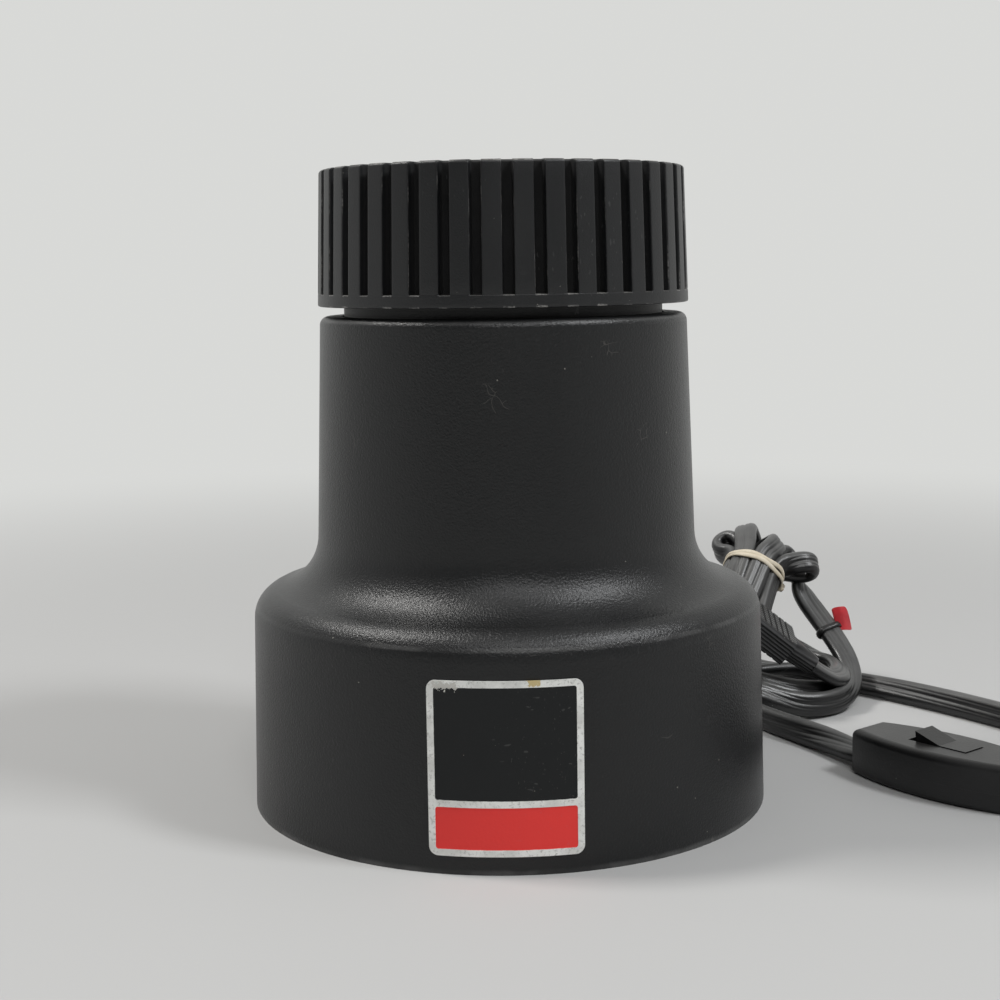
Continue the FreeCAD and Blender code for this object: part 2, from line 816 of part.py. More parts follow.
def lamp_tip():
    bottom = lamp_base_top + insulator_height + bearing_gap
    return Part.makeCone(tip_radius, tip_crown_radius, tip_height, Vector(0, 0, bottom))


def socket_body():
    """Glazed socket: a wide skirt round the screw shell and a narrower neck at the bridge."""
    skirt_top = socket_bottom + socket_skirt
    body = turned_polygon([
        (socket_bore, socket_bottom), (socket_radius, socket_bottom),
        (socket_radius, skirt_top), (socket_neck_radius, skirt_top + socket_taper),
        (socket_neck_radius, bridge_bottom), (0, bridge_bottom),
        (0, contact_top), (socket_bore, contact_top)])
    rims = [edge for edge in body.Edges
            if isinstance(edge.Curve, Part.Circle) and abs(edge.Curve.Radius - socket_radius) < bearing_gap]
    body = body.makeFillet(socket_round, rims)
    holes = [rod(screw_radius + screw_fit, Vector(side * terminal_offset, 0, contact_top - overrun), UP,
                 socket_crown + 2.0 * overrun) for side in (-1, 1)]
    entry = rod(inner_lead_radius + lead_entry_play, Vector(0, socket_bore - overrun, lead_entry), BACK,
                socket_neck_radius - socket_bore + 2.0 * overrun)
    return body.cut(group(holes + [entry]))


def socket_shell():
    outer = socket_shell_bore + socket_shell_wall
    return tube(outer, socket_shell_bore, socket_bottom + socket_shell_lip, contact_top - socket_shell_head)


def socket_contact():
    """Springy centre contact: a strip under the socket's crown."""
    strip = Part.makeBox(2.0 * socket_bore, contact_width, contact_thickness,
                         Vector(-socket_bore, -contact_width / 2.0, contact_top - contact_thickness))
    tool_start = contact_top - contact_thickness - overrun
    tool_reach = contact_thickness + 2.0 * overrun
    holes = [rod(screw_radius + screw_fit, Vector(side * terminal_offset, 0, tool_start), UP, tool_reach)
             for side in (-1, 1)]
    strip = strip.common(rod(socket_bore - contact_end_gap, Vector(0, 0, tool_start), UP, tool_reach))
    return strip.cut(group(holes))


def terminal_screws():
    """The two screws that hold the centre strip and the socket up to the bridge."""
    down = UP * -1.0
    return group([slotted_screw(Vector(side * terminal_offset, 0, bridge_top), down,
                                bridge_thickness + socket_crown + contact_thickness)
                  for side in (-1, 1)])


# ---- condensers ---------------------------------------------------------------------------

def lens(flat_height, towards):
    """Plano-convex lens: flat at flat_height, bulging up (1) or down (-1)."""
    curve = (lens_radius ** 2 + lens_sag ** 2) / (2.0 * lens_sag)
    edge_height = flat_height + towards * lens_edge
    vertex = edge_height + towards * lens_sag
    centre = vertex - towards * curve
    half = math.degrees(math.asin(lens_radius / curve))
    start = 90.0 * towards - half * towards
    dome = section_arc((0.0, centre), curve, start, 90.0 * towards)
    rim = [line((0, 0, flat_height), (lens_radius, 0, flat_height)),
           line((lens_radius, 0, flat_height), (lens_radius, 0, edge_height))]
    return turned(rim + [dome])


def condenser_cell():
    seat_bottom_height = cell_seat_height - cell_seat_thickness
    groove_radius = cell_bore + retainer_bite
    cell = turned_polygon([
        (cell_bore, base_ring_recess), (cell_radius, base_ring_recess),
        (cell_radius, base_ring_top), (cell_flange_radius, base_ring_top),
        (cell_flange_radius, base_ring_top + cell_flange), (cell_radius, base_ring_top + cell_flange),
        (cell_radius, cell_top), (cell_bore, cell_top),
        (cell_bore, retainer_top + slide_fit), (groove_radius, retainer_top + slide_fit),
        (groove_radius, upper_lens_top), (cell_bore, upper_lens_top),
        (cell_bore, cell_seat_height), (cell_bore - cell_seat_width, cell_seat_height),
        (cell_bore - cell_seat_width, seat_bottom_height), (cell_bore, seat_bottom_height)])
    return cell.cut(group(cell_screw_holes()))


def cell_screw_angles():
    return spaced(lug_count, lug_first_angle + 180.0 / lug_count)


def cell_screw_holes():
    return [rod(screw_radius + screw_fit, polar(cell_screw_circle, angle, base_ring_recess - overrun), UP,
                base_ring_thickness + cell_flange + 2.0 * overrun)
            for angle in cell_screw_angles()]


def lens_dome_drop(radius):
    """How far a lens's dome has fallen from its rim's plane, seen from inside at this radius."""
    curve = (lens_radius ** 2 + lens_sag ** 2) / (2.0 * lens_sag)
    return math.sqrt(curve ** 2 - radius ** 2) - math.sqrt(curve ** 2 - lens_radius ** 2)


def lens_spacer():
    """Sleeve between the lenses, its ends bevelled to the domes."""
    bore = lens_radius - spacer_wall
    bevel = lens_dome_drop(bore) + slide_fit
    return turned_polygon([
        (lens_radius, lower_lens_edge_top), (lens_radius, upper_lens_edge_bottom),
        (bore, upper_lens_edge_bottom - bevel), (bore, lower_lens_edge_top + bevel)])


def lens_retainer():
    """Open spring ring on top of the upper lens, sprung into the cell's groove."""
    outer = cell_bore + retainer_bite - slide_fit
    ring = tube(outer, outer - retainer_width, upper_lens_top + bearing_gap, retainer_top)
    slit = Part.makeBox(2.0 * retainer_width + overrun, retainer_slit, retainer_thickness + 2.0 * overrun,
                        Vector(outer - 2.0 * retainer_width, -retainer_slit / 2.0, upper_lens_top - overrun))
    slit.rotate(Vector(0, 0, 0), UP, -90.0)
    return ring.cut(slit)


def base_ring():
    outer = drum_radius_at(base_ring_top, housing_wall) - base_ring_play
    bore = cell_radius + base_ring_play
    ring = tube(outer, bore, base_ring_recess, base_ring_top)
    holes = base_screw_holes() + cell_screw_holes()
    return ring.cut(group(holes))


def base_screws():
    return group([slotted_screw(polar(lug_circle, angle, base_ring_recess), UP,
                                base_ring_thickness + base_screw_reach)
                  for angle in spaced(lug_count, lug_first_angle)])


def cell_screws():
    down = UP * -1.0
    return group([slotted_screw(polar(cell_screw_circle, angle, base_ring_top + cell_flange), down,
                                cell_flange + base_ring_thickness - screw_tip_room)
                  for angle in cell_screw_angles()])


# ---- name plate ---------------------------------------------------------------------------

def rounded_block(width, height, corner, centre_x, bottom):
    """Block through the drum's front wall with a rounded-rectangle outline seen from -Y."""
    depth = drum_widest + overrun + plate_glue + plate_thickness
    block = Part.makeBox(width, depth, height, Vector(centre_x - width / 2.0, -depth, bottom))
    upright = [edge for edge in block.Edges
               if abs(edge.tangentAt(edge.FirstParameter).y) > 0.99]
    return block.makeFillet(corner, upright)


def drum_cone(offset):
    """Solid drum side, `offset` out from the housing's surface."""
    return turned_polygon([(0, 0), (drum_base_radius + offset, 0),
                           (drum_top_radius + offset, drum_edge_height), (0, drum_edge_height)])


def nameplate():
    skin = drum_cone(plate_glue + plate_thickness).cut(drum_cone(plate_glue))
    plate = rounded_block(plate_width, plate_height, plate_corner, plate_offset, plate_bottom).common(skin)
    sunk_skin = drum_cone(plate_glue + plate_thickness + overrun).cut(
        drum_cone(plate_glue + plate_thickness - plate_sink))
    inner_width = plate_width - 2.0 * plate_border
    band_bottom = plate_bottom + plate_border
    field_bottom = band_bottom + plate_band_height + plate_divider
    field_height = plate_bottom + plate_height - plate_border - field_bottom
    band = rounded_block(inner_width, plate_band_height, field_corner, plate_offset, band_bottom)
    field = rounded_block(inner_width, field_height, field_corner, plate_offset, field_bottom)
    return plate.cut(band.fuse(field).common(sunk_skin))


# ---- gland and strain relief --------------------------------------------------------------

def gland_body():
    flange = rod(gland_flange_radius, Vector(0, gland_face, gland_height), BACK, gland_flange)
    rim = [edge for edge in flange.Edges
           if abs(edge.BoundBox.Center.y - relief_start) < bearing_gap]
    flange = flange.makeFillet(gland_round, rim)
    shank = rod(gland_shank_radius, Vector(0, gland_end, gland_height), BACK,
                gland_face - gland_end + gland_round)
    bore = rod(lead_radius + gland_bore_play, Vector(0, gland_end - overrun, gland_height), BACK,
               relief_start - gland_end + 2.0 * overrun)
    return flange.fuse(shank).cut(bore)


def gland_nut():
    """Hexagonal nut drawn up against the drum's inner wall."""
    corner = gland_nut_flats / math.sqrt(3.0)
    inner_wall = min(drum_radius_at(gland_height - corner, housing_wall),
                     drum_radius_at(gland_height + corner, housing_wall))
    face = math.sqrt(inner_wall ** 2 - corner ** 2) - nut_play
    back = face - gland_nut_thickness
    corners = [Vector(0, back, gland_height) + Vector(spot.x, 0, spot.y)
               for spot in (polar(corner, angle) for angle in spaced(6, 0.0))]
    hexagon = Part.Face(Part.makePolygon(corners + corners[:1]))
    nut = hexagon.extrude(BACK * gland_nut_thickness)
    return nut.cut(rod(gland_shank_radius + nut_play, Vector(0, back - overrun, gland_height), BACK,
                       gland_nut_thickness + 2.0 * overrun))


def strain_relief():
    sleeve = Part.makeCone(relief_start_radius, relief_end_radius, relief_length,
                           Vector(0, relief_start, gland_height), BACK)
    bore = rod(lead_radius + relief_bore_play, Vector(0, relief_start - overrun, gland_height), BACK,
               relief_length - relief_tip + overrun)
    return sleeve.cut(bore)


def inner_lead():
    """Two-core lead from the gland, round the condenser cell and up to the socket's neck."""
    beside_cell = cell_radius + inner_lead_radius + inner_lead_clear
    lane = collar_bore - inner_lead_radius - inner_lane_clear
    corners = {
        "gland": Vector(0, gland_end - inner_lead_gap, gland_height),
        "cell": Vector(0, beside_cell, gland_height),
        "rim": Vector(0, cell_radius, cell_top),
        "lane": Vector(0, lane, cell_top),
        "turn": Vector(0, lane, lead_entry),
        "neck": Vector(0, socket_neck_radius, lead_entry),
    }
    route = [corners[name] + step for name, steps in inner_lead_steps.items() for step in steps]
    return lead_tube("inner_lead", route, inner_lead_radius)


# ---- lead, hank and what is on them -------------------------------------------------------

def hank():
    """Spindle of revolution about the hank's axis, with its waist at the band."""
    half = band_width / 2.0 + band_margin
    profiles = [hank_lower_profile + [(-half, hank_waist)], [(half, hank_waist)] + hank_upper_profile]
    edges = []
    for profile in profiles:
        curve = Part.BSplineCurve()
        curve.interpolate([Vector(radius, 0, along) for along, radius in profile])
        edges.append(curve.toShape())
    foot, foot_radius = hank_lower_profile[0]
    top, top_radius = hank_upper_profile[-1]
    spindle = turned([line((0, 0, foot), (foot_radius, 0, foot))] + edges
                     + [line((top_radius, 0, top), (0, 0, top))])
    return placed(spindle, hank_placement())


def hank_placement():
    frame = local_frame(hank_centre, hank_axis, BACK)
    upright = FreeCAD.Placement(Vector(0, 0, 0), FreeCAD.Rotation(BACK, 90.0))
    return frame.multiply(upright)


def rubber_band():
    inner = hank_waist + band_play
    ring = tube(inner + band_thickness, inner, -band_width / 2.0, band_width / 2.0)
    return placed(ring, hank_placement())


def lead_tag():
    """Small folded flag on the outer loop."""
    return Part.makeBox(tag_thickness, tag_length, tag_height, tag_start - Vector(tag_thickness / 2.0, 0, 0))


# ---- in-line switch -----------------------------------------------------------------------

def switch_placement():
    heading = math.radians(switch_heading)
    along = Vector(math.cos(heading), math.sin(heading), 0)
    return local_frame(switch_start, along, UP.cross(along))


def switch_outline(inset):
    """Plan outline of the case: a bulged middle and narrower ends."""
    half_width = switch_width / 2.0 - inset
    half_end = switch_end_width / 2.0 - inset
    start, end = inset, switch_length - inset
    middle = switch_length / 2.0
    low = [Vector(start, -half_end, 0), Vector(middle, -half_width, 0), Vector(end, -half_end, 0)]
    high = [Vector(end, half_end, 0), Vector(middle, half_width, 0), Vector(start, half_end, 0)]
    edges = [Part.Arc(*low).toShape(), Part.LineSegment(low[-1], high[0]).toShape(),
             Part.Arc(*high).toShape(), Part.LineSegment(high[-1], low[0]).toShape()]
    return Part.Face(Part.Wire(edges))


def switch_block(inset, bottom, top):
    block = switch_outline(inset).extrude(UP * (top - bottom))
    block.translate(UP * bottom)
    return block


def switch_lead_ports():
    return rod(lead_radius + port_play, Vector(-overrun, 0, switch_lead_height), Vector(1, 0, 0),
               switch_length + 2.0 * overrun)


def case_screw_places():
    return [Vector(switch_length / 2.0 + side * (switch_length / 2.0 - case_screw_inset),
                   -side * (switch_width / 2.0 - case_screw_edge), 0) for side in (-1, 1)]


def switch_case_bottom():
    outer = switch_block(0.0, switch_foot, switch_joint_height)
    rim = [edge for edge in outer.Edges if edge.BoundBox.ZMax < switch_foot + bearing_gap]
    outer = outer.makeFillet(switch_foot_round, rim)
    inner = switch_block(switch_wall, switch_foot + switch_wall, switch_joint_height + overrun)
    places = case_screw_places()
    posts = [rod(screw_head_radius + post_wall, place + UP * case_screw_sink, UP,
                 switch_joint_height - case_screw_sink) for place in places]
    shell = outer.cut(inner).fuse([post.common(outer) for post in posts])
    holes = [rod(screw_radius + screw_fit, place, UP, switch_height) for place in places]
    sinks = [rod(screw_head_radius + screw_fit, place - UP * overrun, UP,
                 overrun + case_screw_sink + screw_head) for place in places]
    return placed(shell.cut(group(holes + sinks + [switch_lead_ports()])), switch_placement())


def switch_case_top():
    bottom = switch_joint_height + bearing_gap
    outer = switch_block(0.0, bottom, switch_height)
    rim = [edge for edge in outer.Edges if edge.BoundBox.ZMin > switch_height - bearing_gap]
    outer = outer.makeFillet(switch_round, rim)
    inner = switch_block(switch_wall, bottom - overrun, switch_height - switch_wall)
    places = case_screw_places()
    posts = [rod(screw_head_radius + post_wall, place + UP * bottom, UP,
                 switch_height - bottom - post_top_gap) for place in places]
    middle = Vector(switch_length / 2.0, 0, 0)
    slot_half = rocker_width / 2.0 + rocker_play
    ears = []
    for side in (-1, 1):
        offset = side * (slot_half + ear_thickness / 2.0) - ear_thickness / 2.0
        ears.append(Part.makeBox(ear_length, ear_thickness, switch_height - ear_top_gap - bottom,
                                 middle + Vector(-ear_length / 2.0, offset, bottom)))
    shell = outer.cut(inner).fuse([post.common(outer) for post in posts] + ears)
    slot_length = 2.0 * (rocker_reach() + rocker_play)
    slot = Part.makeBox(slot_length, 2.0 * slot_half, switch_height,
                        middle + Vector(-slot_length / 2.0, -slot_half, bottom - overrun))
    hole_reach = case_screw_sink + screw_head + case_screw_reach + screw_tip_room
    holes = [rod(screw_radius + screw_fit, place, UP, hole_reach) for place in places]
    bearing = pin_axis_rod(pin_radius + pin_press)
    return placed(shell.cut(group([slot, bearing, switch_lead_ports()] + holes)), switch_placement())


def pin_axis_rod(radius):
    half = rocker_width / 2.0 + rocker_play + pin_bearing
    return rod(radius, Vector(switch_length / 2.0, -half, rocker_pivot_height), BACK, 2.0 * half)


def rocker_reach():
    """Farthest that the rocker's corner comes along the case as it tips."""
    rise = rocker_valley + rocker_length * math.tan(math.radians(rocker_angle))
    corner = math.hypot(rocker_length, rise)
    lowest = math.atan2(rise, rocker_length) - math.radians(rocker_angle)
    return corner * math.cos(lowest)


def switch_rocker():
    """V-topped rocker with a rounded foot, at rest with one end pressed in."""
    rise = rocker_valley + rocker_length * math.tan(math.radians(rocker_angle))
    heel = rocker_length - rocker_taper
    edges = [
        line((-rocker_length, 0, rise), (0, 0, rocker_valley)),
        line((0, 0, rocker_valley), (rocker_length, 0, rise)),
        line((rocker_length, 0, rise), (heel, 0, rocker_underside)),
        line((heel, 0, rocker_underside), (rocker_foot, 0, 0)),
        section_arc((0, 0), rocker_foot, 0.0, -180.0),
        line((-rocker_foot, 0, 0), (-heel, 0, rocker_underside)),
        line((-heel, 0, rocker_underside), (-rocker_length, 0, rise)),
    ]
    face = Part.Face(Part.Wire(edges))
    body = face.extrude(BACK * rocker_width)
    body.translate(Vector(0, -rocker_width / 2.0, 0))
    body = body.cut(rod(pin_radius + pin_fit, Vector(0, -rocker_width, 0), BACK, 2.0 * rocker_width))
    body.rotate(Vector(0, 0, 0), BACK, rocker_angle)
    body.translate(Vector(switch_length / 2.0, 0, rocker_pivot_height))
    return placed(body, switch_placement())


def switch_pin():
    return placed(pin_axis_rod(pin_radius), switch_placement())


def switch_screws():
    seat = UP * (case_screw_sink + screw_head)
    return group([placed(slotted_screw(place + seat, UP, case_screw_reach), switch_placement())
                  for place in case_screw_places()])


def switch_contacts():
    """Two brass strips on the floor of the case, one each side of the lead."""
    strips = []
    floor = switch_foot + switch_wall
    middle = switch_length / 2.0
    for side in (-1, 1):
        across = side * strip_offset - strip_width / 2.0
        base = Part.makeBox(strip_length, strip_width, strip_thickness,
                            Vector(middle - strip_length / 2.0, across, floor))
        riser_start = middle + side * (strip_length - strip_thickness) / 2.0 - strip_thickness / 2.0
        riser = Part.makeBox(strip_thickness, strip_width, strip_riser, Vector(riser_start, across, floor))
        strips.append(base.fuse(riser))
    return placed(group(strips), switch_placement())


# ---- plug ---------------------------------------------------------------------------------

def plug_placement():
    return local_frame(plug_tail, plug_axis, plug_side)


def plug_body():
    """Flat moulded plug with grip ribs and a tapered tail."""
    tail = Part.makeCone(plug_relief_end_radius, plug_relief_radius, plug_relief_length + overrun,
                         Vector(0, 0, 0), Vector(1, 0, 0))
    half_width = plug_body_width / 2.0
    half_thickness = plug_body_thickness / 2.0
    body = Part.makeBox(plug_body_length, plug_body_width, plug_body_thickness,
                        Vector(plug_relief_length, -half_width, -half_thickness))
    long_edges = [edge for edge in body.Edges
                  if abs(edge.tangentAt(edge.FirstParameter).x) > 0.99]
    body = body.makeFillet(plug_round, long_edges)
    grooves = []
    for index in range(plug_rib_count):
        start = plug_relief_length + plug_rib_start + plug_rib_pitch * index
        for side in (-1, 1):
            corner = Vector(start, -half_width - overrun, side * half_thickness - plug_rib_depth)
            grooves.append(Part.makeBox(plug_rib_groove, plug_body_width + 2.0 * overrun,
                                        2.0 * plug_rib_depth, corner))
    body = body.cut(group(grooves))
    return placed(tail.fuse(body), plug_placement())


def plug_blades():
    blades = []
    start = plug_relief_length + plug_body_length
    for side in (-1, 1):
        centre = side * blade_spacing / 2.0
        blade = Part.makeBox(blade_length, blade_thickness, blade_width,
                             Vector(start + bearing_gap, centre - blade_thickness / 2.0, -blade_width / 2.0))
        tip_edges = [edge for edge in blade.Edges
                     if abs(edge.tangentAt(edge.FirstParameter).y) > 0.99
                     and edge.BoundBox.Center.x > start + blade_length / 2.0]
        blade = blade.makeFillet(blade_tip_round, tip_edges)
        hole_start = Vector(start + blade_length - blade_hole_inset, centre - blade_thickness, 0)
        hole = rod(blade_hole_radius, hole_start, BACK, 2.0 * blade_thickness)
        blades.append(blade.cut(hole))
    return placed(group(blades), plug_placement())


# ---- build --------------------------------------------------------------------------------

def lower_condenser():
    return lens(lower_lens_bottom, 1)


def upper_condenser():
    return lens(upper_lens_top, -1)


def lead_out():
    """Lead from the strain relief to the switch."""
    first = Vector(0, relief_end, gland_height)
    along = switch_placement().Rotation.multVec(Vector(1, 0, 0))
    last = switch_start + UP * switch_lead_height - along * switch_lead_gap
    route = [first, first + BACK * lead_out_straight] + lead_out_route + [last]
    return lead_tube("lead_out", route, lead_radius)


def lead_back():
    """Lead from the switch back to the hank."""
    along = switch_placement().Rotation.multVec(Vector(1, 0, 0))
    first = switch_start + UP * switch_lead_height + along * (switch_length + switch_lead_gap)
    return lead_tube("lead_back", [first] + lead_back_route, lead_radius)


def outer_loop():
    return lead_tube("outer_loop", outer_loop_route, lead_radius)


def plug_lead():
    """Short lead from the hank into the plug's tail, straight at its end."""
    straight = Vector(plug_axis).normalize() * plug_lead_straight
    return lead_tube("plug_lead", plug_lead_route + [plug_tail - straight, plug_tail], lead_radius)


NODES = {
    "lamphouse_shell": lamphouse_shell,
    "grip_ring": grip_ring,
    "keeper_ring": keeper_ring,
    "vent_cap": vent_cap,
    "collar": collar,
    "socket_bridge": socket_bridge,
    "collar_rivets": collar_rivets,
    "cap_screws": cap_screws,
    "lamp_bulb": lamp_bulb,
    "lamp_base": lamp_base,
    "lamp_insulator": lamp_insulator,
    "lamp_tip": lamp_tip,
    "socket_body": socket_body,
    "socket_shell": socket_shell,
    "socket_contact": socket_contact,
    "terminal_screws": terminal_screws,
    "lower_condenser": lower_condenser,
    "upper_condenser": upper_condenser,
    "condenser_cell": condenser_cell,
    "lens_spacer": lens_spacer,
    "lens_retainer": lens_retainer,
    "base_ring": base_ring,
    "base_screws": base_screws,
    "cell_screws": cell_screws,
    "nameplate": nameplate,
    "gland_body": gland_body,
    "gland_nut": gland_nut,
    "strain_relief": strain_relief,
    "inner_lead": inner_lead,
    "lead_out": lead_out,
    "lead_back": lead_back,
    "outer_loop": outer_loop,
    "plug_lead": plug_lead,
    "hank": hank,
    "rubber_band": rubber_band,
    "lead_tag": lead_tag,
    "switch_case_bottom": switch_case_bottom,
    "switch_case_top": switch_case_top,
    "switch_rocker": switch_rocker,
    "switch_pin": switch_pin,
    "switch_screws": switch_screws,
    "switch_contacts": switch_contacts,
    "plug_body": plug_body,
    "plug_blades": plug_blades,
}


def main():
    os.makedirs("parts", exist_ok=True)
    for name, make in NODES.items():
        shape = make()
        if not shape.isValid():
            print("not valid:", name)
        box = shape.BoundBox
        print(name, len(shape.Solids), "solids, volume", round(shape.Volume, 1), "z",
              round(box.ZMin, 2), round(box.ZMax, 2))
        shape.exportStep(f"parts/{name}.step")


main()
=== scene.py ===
"""Dresses the enlarger lamphouse head: its cap, enamel, plate, lamp, lenses, switch, plug and mains lead."""
import math

import bmesh
import bpy
import numpy as np
from mathutils import Matrix, Vector


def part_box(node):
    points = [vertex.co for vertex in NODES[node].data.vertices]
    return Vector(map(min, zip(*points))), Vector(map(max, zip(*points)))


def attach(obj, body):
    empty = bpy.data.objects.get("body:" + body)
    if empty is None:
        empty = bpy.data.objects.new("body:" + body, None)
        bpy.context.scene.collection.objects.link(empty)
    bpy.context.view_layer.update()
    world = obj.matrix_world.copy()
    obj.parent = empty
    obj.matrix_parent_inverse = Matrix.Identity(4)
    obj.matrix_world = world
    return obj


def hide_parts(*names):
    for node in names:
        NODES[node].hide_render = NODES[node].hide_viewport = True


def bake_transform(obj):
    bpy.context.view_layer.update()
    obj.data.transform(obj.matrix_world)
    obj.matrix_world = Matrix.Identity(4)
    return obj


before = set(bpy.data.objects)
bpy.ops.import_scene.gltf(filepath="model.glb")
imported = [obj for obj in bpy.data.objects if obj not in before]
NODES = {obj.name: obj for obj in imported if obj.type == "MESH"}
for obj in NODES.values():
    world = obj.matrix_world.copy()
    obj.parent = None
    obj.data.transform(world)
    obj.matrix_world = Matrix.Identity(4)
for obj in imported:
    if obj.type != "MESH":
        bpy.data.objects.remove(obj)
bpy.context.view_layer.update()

bl_info = {
    "name": "Enlarger lamphouse head",
    "version": (1, 0, 0),
    "blender": (4, 5, 0),
    "location": "3D View > Sidebar > Lamphouse",
    "description": "Builds the visible pieces, finishes and stage of an enlarger lamphouse head",
    "category": "Object",
}

CAP_LOW, CAP_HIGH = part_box("vent_cap")
PLATE_LOW, PLATE_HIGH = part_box("nameplate")
RELIEF_LOW, RELIEF_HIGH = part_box("strain_relief")


# ---------------------------------------------------------------- settings


def size(name, text, default):
    """A length that a user may change."""
    return bpy.props.FloatProperty(name=name, description=text, default=default, unit="LENGTH", precision=5)


def angle(name, text, degrees):
    """An angle that a user may change."""
    return bpy.props.FloatProperty(
        name=name, description=text, default=math.radians(degrees), unit="ROTATION")


def power(name, text, default):
    """A light's power that a user may change."""
    return bpy.props.FloatProperty(name=name, description=text, default=default, unit="POWER")


def strength(name, text, default):
    """A strength of the room's light that a user may change."""
    return bpy.props.FloatProperty(name=name, description=text, default=default, min=0.0)


def colour(name, text, default):
    """A colour that a user may change."""
    return bpy.props.FloatVectorProperty(
        name=name, description=text, default=default, subtype="COLOR", size=3, min=0.0, max=1.0)


class CapSettings(bpy.types.PropertyGroup):
    """The ribbed vent cap."""
    grooves: bpy.props.IntProperty(
        name="Grooves", description="Grooves round the cap", default=39, min=8, max=90)
    groove_width: size("Groove width", "Width of a groove at the rim", 0.0032)
    groove_depth: size("Groove depth", "Depth of a groove", 0.0031)
    band: size("Lower band", "Height of the plain band below the grooves", 0.0035)
    top_round: size("Top round", "Radius of the top edge", 0.0009)
    wall: size("Wall", "Thickness of the skirt at its foot", 0.0046)
    first: angle("First groove", "Angle of the first groove", -88.3)


class LeadSettings(bpy.types.PropertyGroup):
    """The flat two-core mains lead."""
    width: size("Width", "Width of the flat lead", 0.0084)
    thickness: size("Thickness", "Thickness of the flat lead", 0.0042)
    rib_pitch: size("Rib pitch", "Distance between the ribs on its faces", 0.00105)
    rib_depth: size("Rib depth", "Depth between two ribs", 0.00009)
    core_groove: size("Core groove", "Depth of the groove between the two cores", 0.00028)
    band_thickness: size("Tie thickness", "Thickness of the rubber band round the hank", 0.0009)
    inner_radius: size("Inner lead radius", "Radius of the round lead inside the housing", 0.0020)


class FinishSettings(bpy.types.PropertyGroup):
    """Colours of the finishes."""
    enamel: colour("Enamel", "Housing enamel", (0.0036, 0.0040, 0.0045))
    # Lighter enamel along the turned edges: wear, and at the shoulder's edge a painted highlight line.
    enamel_worn_and_sheen: colour("Worn enamel", "Enamel polished thin along the edges", (0.075, 0.075, 0.074))
    cap: colour("Cap", "Black cap moulding", (0.0055, 0.0060, 0.0068))
    cap_worn: colour("Worn cap", "Chalky wear on the edges of the cap ribs", (0.42, 0.41, 0.39))
    dust: colour("Dust", "Dust and lint", (0.42, 0.40, 0.36))
    vinyl: colour("Vinyl", "Lead and plug vinyl", (0.0055, 0.0055, 0.0060))
    moulding: colour("Moulding", "Switch and gland moulding", (0.0050, 0.0050, 0.0055))
    plate_metal: colour("Plate metal", "Etched metal of the name plate", (0.90, 0.91, 0.88))
    plate_upper: colour("Plate upper field", "Printed upper field", (0.0040, 0.0052, 0.0058))
    plate_lower: colour("Plate lower field", "Printed lower band", (0.84, 0.046, 0.040))
    band: colour("Rubber band", "Natural rubber", (0.66, 0.58, 0.44))
    tag: colour("Tag", "Red tag on the lead", (0.60, 0.035, 0.045))


class StageSettings(bpy.types.PropertyGroup):
    """Floor, lights and camera."""
    floor: colour("Floor", "Plain floor", (0.49, 0.49, 0.485))
    backdrop: colour("Backdrop", "Plain backdrop", (0.69, 0.695, 0.68))
    key_power: power("Key light", "Power of the key light", 10.0)
    fill_power: power("Fill light", "Power of the fill light", 8.5)
    front_power: power("Front light", "Power of the front light", 5.0)
    sky: strength("Room light", "Strength of the room light", 0.46)
    sky_front: strength("Room light in front", "Strength of the room light from the front", 0.02)
    camera_place: bpy.props.FloatVectorProperty(
        name="Camera place", description="Where the camera stands", default=(0.0, -0.4998, 0.1577),
        unit="LENGTH", size=3, precision=4)
    camera_pitch: angle("Camera pitch", "How far the camera looks down", 7.95)
    camera_yaw: angle("Camera yaw", "How far the camera looks left", 0.2)
    camera_roll: angle("Camera roll", "How far the camera leans", 0.86)


class HeadSettings(bpy.types.PropertyGroup):
    """All settings of the head."""
    cap: bpy.props.PointerProperty(type=CapSettings)
    lead: bpy.props.PointerProperty(type=LeadSettings)
    finish: bpy.props.PointerProperty(type=FinishSettings)
    stage: bpy.props.PointerProperty(type=StageSettings)


# ---------------------------------------------------------------- mesh helpers


def add_object(name, vertices, faces, smooth_angle, attributes=None):
    """A new mesh object, smooth-shaded but for edges sharper than the angle in degrees."""
    same_place = 2e-6
    mesh = bpy.data.meshes.new(name)
    mesh.from_pydata([tuple(v) for v in vertices], [], faces)
    for label, values in (attributes or {}).items():
        layer = mesh.attributes.new(label, "FLOAT", "POINT")
        layer.data.foreach_set("value", np.asarray(values, np.float32))
    mesh.validate()
    work = bmesh.new()
    work.from_mesh(mesh)
    bmesh.ops.remove_doubles(work, verts=work.verts, dist=same_place)
    bmesh.ops.recalc_face_normals(work, faces=work.faces)
    work.to_mesh(mesh)
    work.free()
    mesh.shade_smooth()
    mesh.set_sharp_from_angle(angle=math.radians(smooth_angle))
    piece = bpy.data.objects.new(name, mesh)
    bpy.context.scene.collection.objects.link(piece)
    return piece


def ring_faces(rings, count, closed_rings=False, cap_ends=False):
    """Faces between rings of count points each, one ring after another."""
    faces = []
    pairs = [(i, i + 1) for i in range(rings - 1)] + ([(rings - 1, 0)] if closed_rings else [])
    for a, b in pairs:
        for j in range(count):
            k = (j + 1) % count
            faces.append((a * count + j, a * count + k, b * count + k, b * count + j))
    if cap_ends:
        faces.append(tuple(range(count))[::-1])
        faces.append(tuple((rings - 1) * count + j for j in range(count)))
    return faces


def across(direction, hint):
    """Two unit vectors square to direction, the first one near hint."""
    d = np.asarray(direction, float)
    d = d / np.linalg.norm(d)
    h = np.asarray(hint, float)
    first = h - d * (h @ d)
    first = first / np.linalg.norm(first)
    return first, np.cross(d, first)


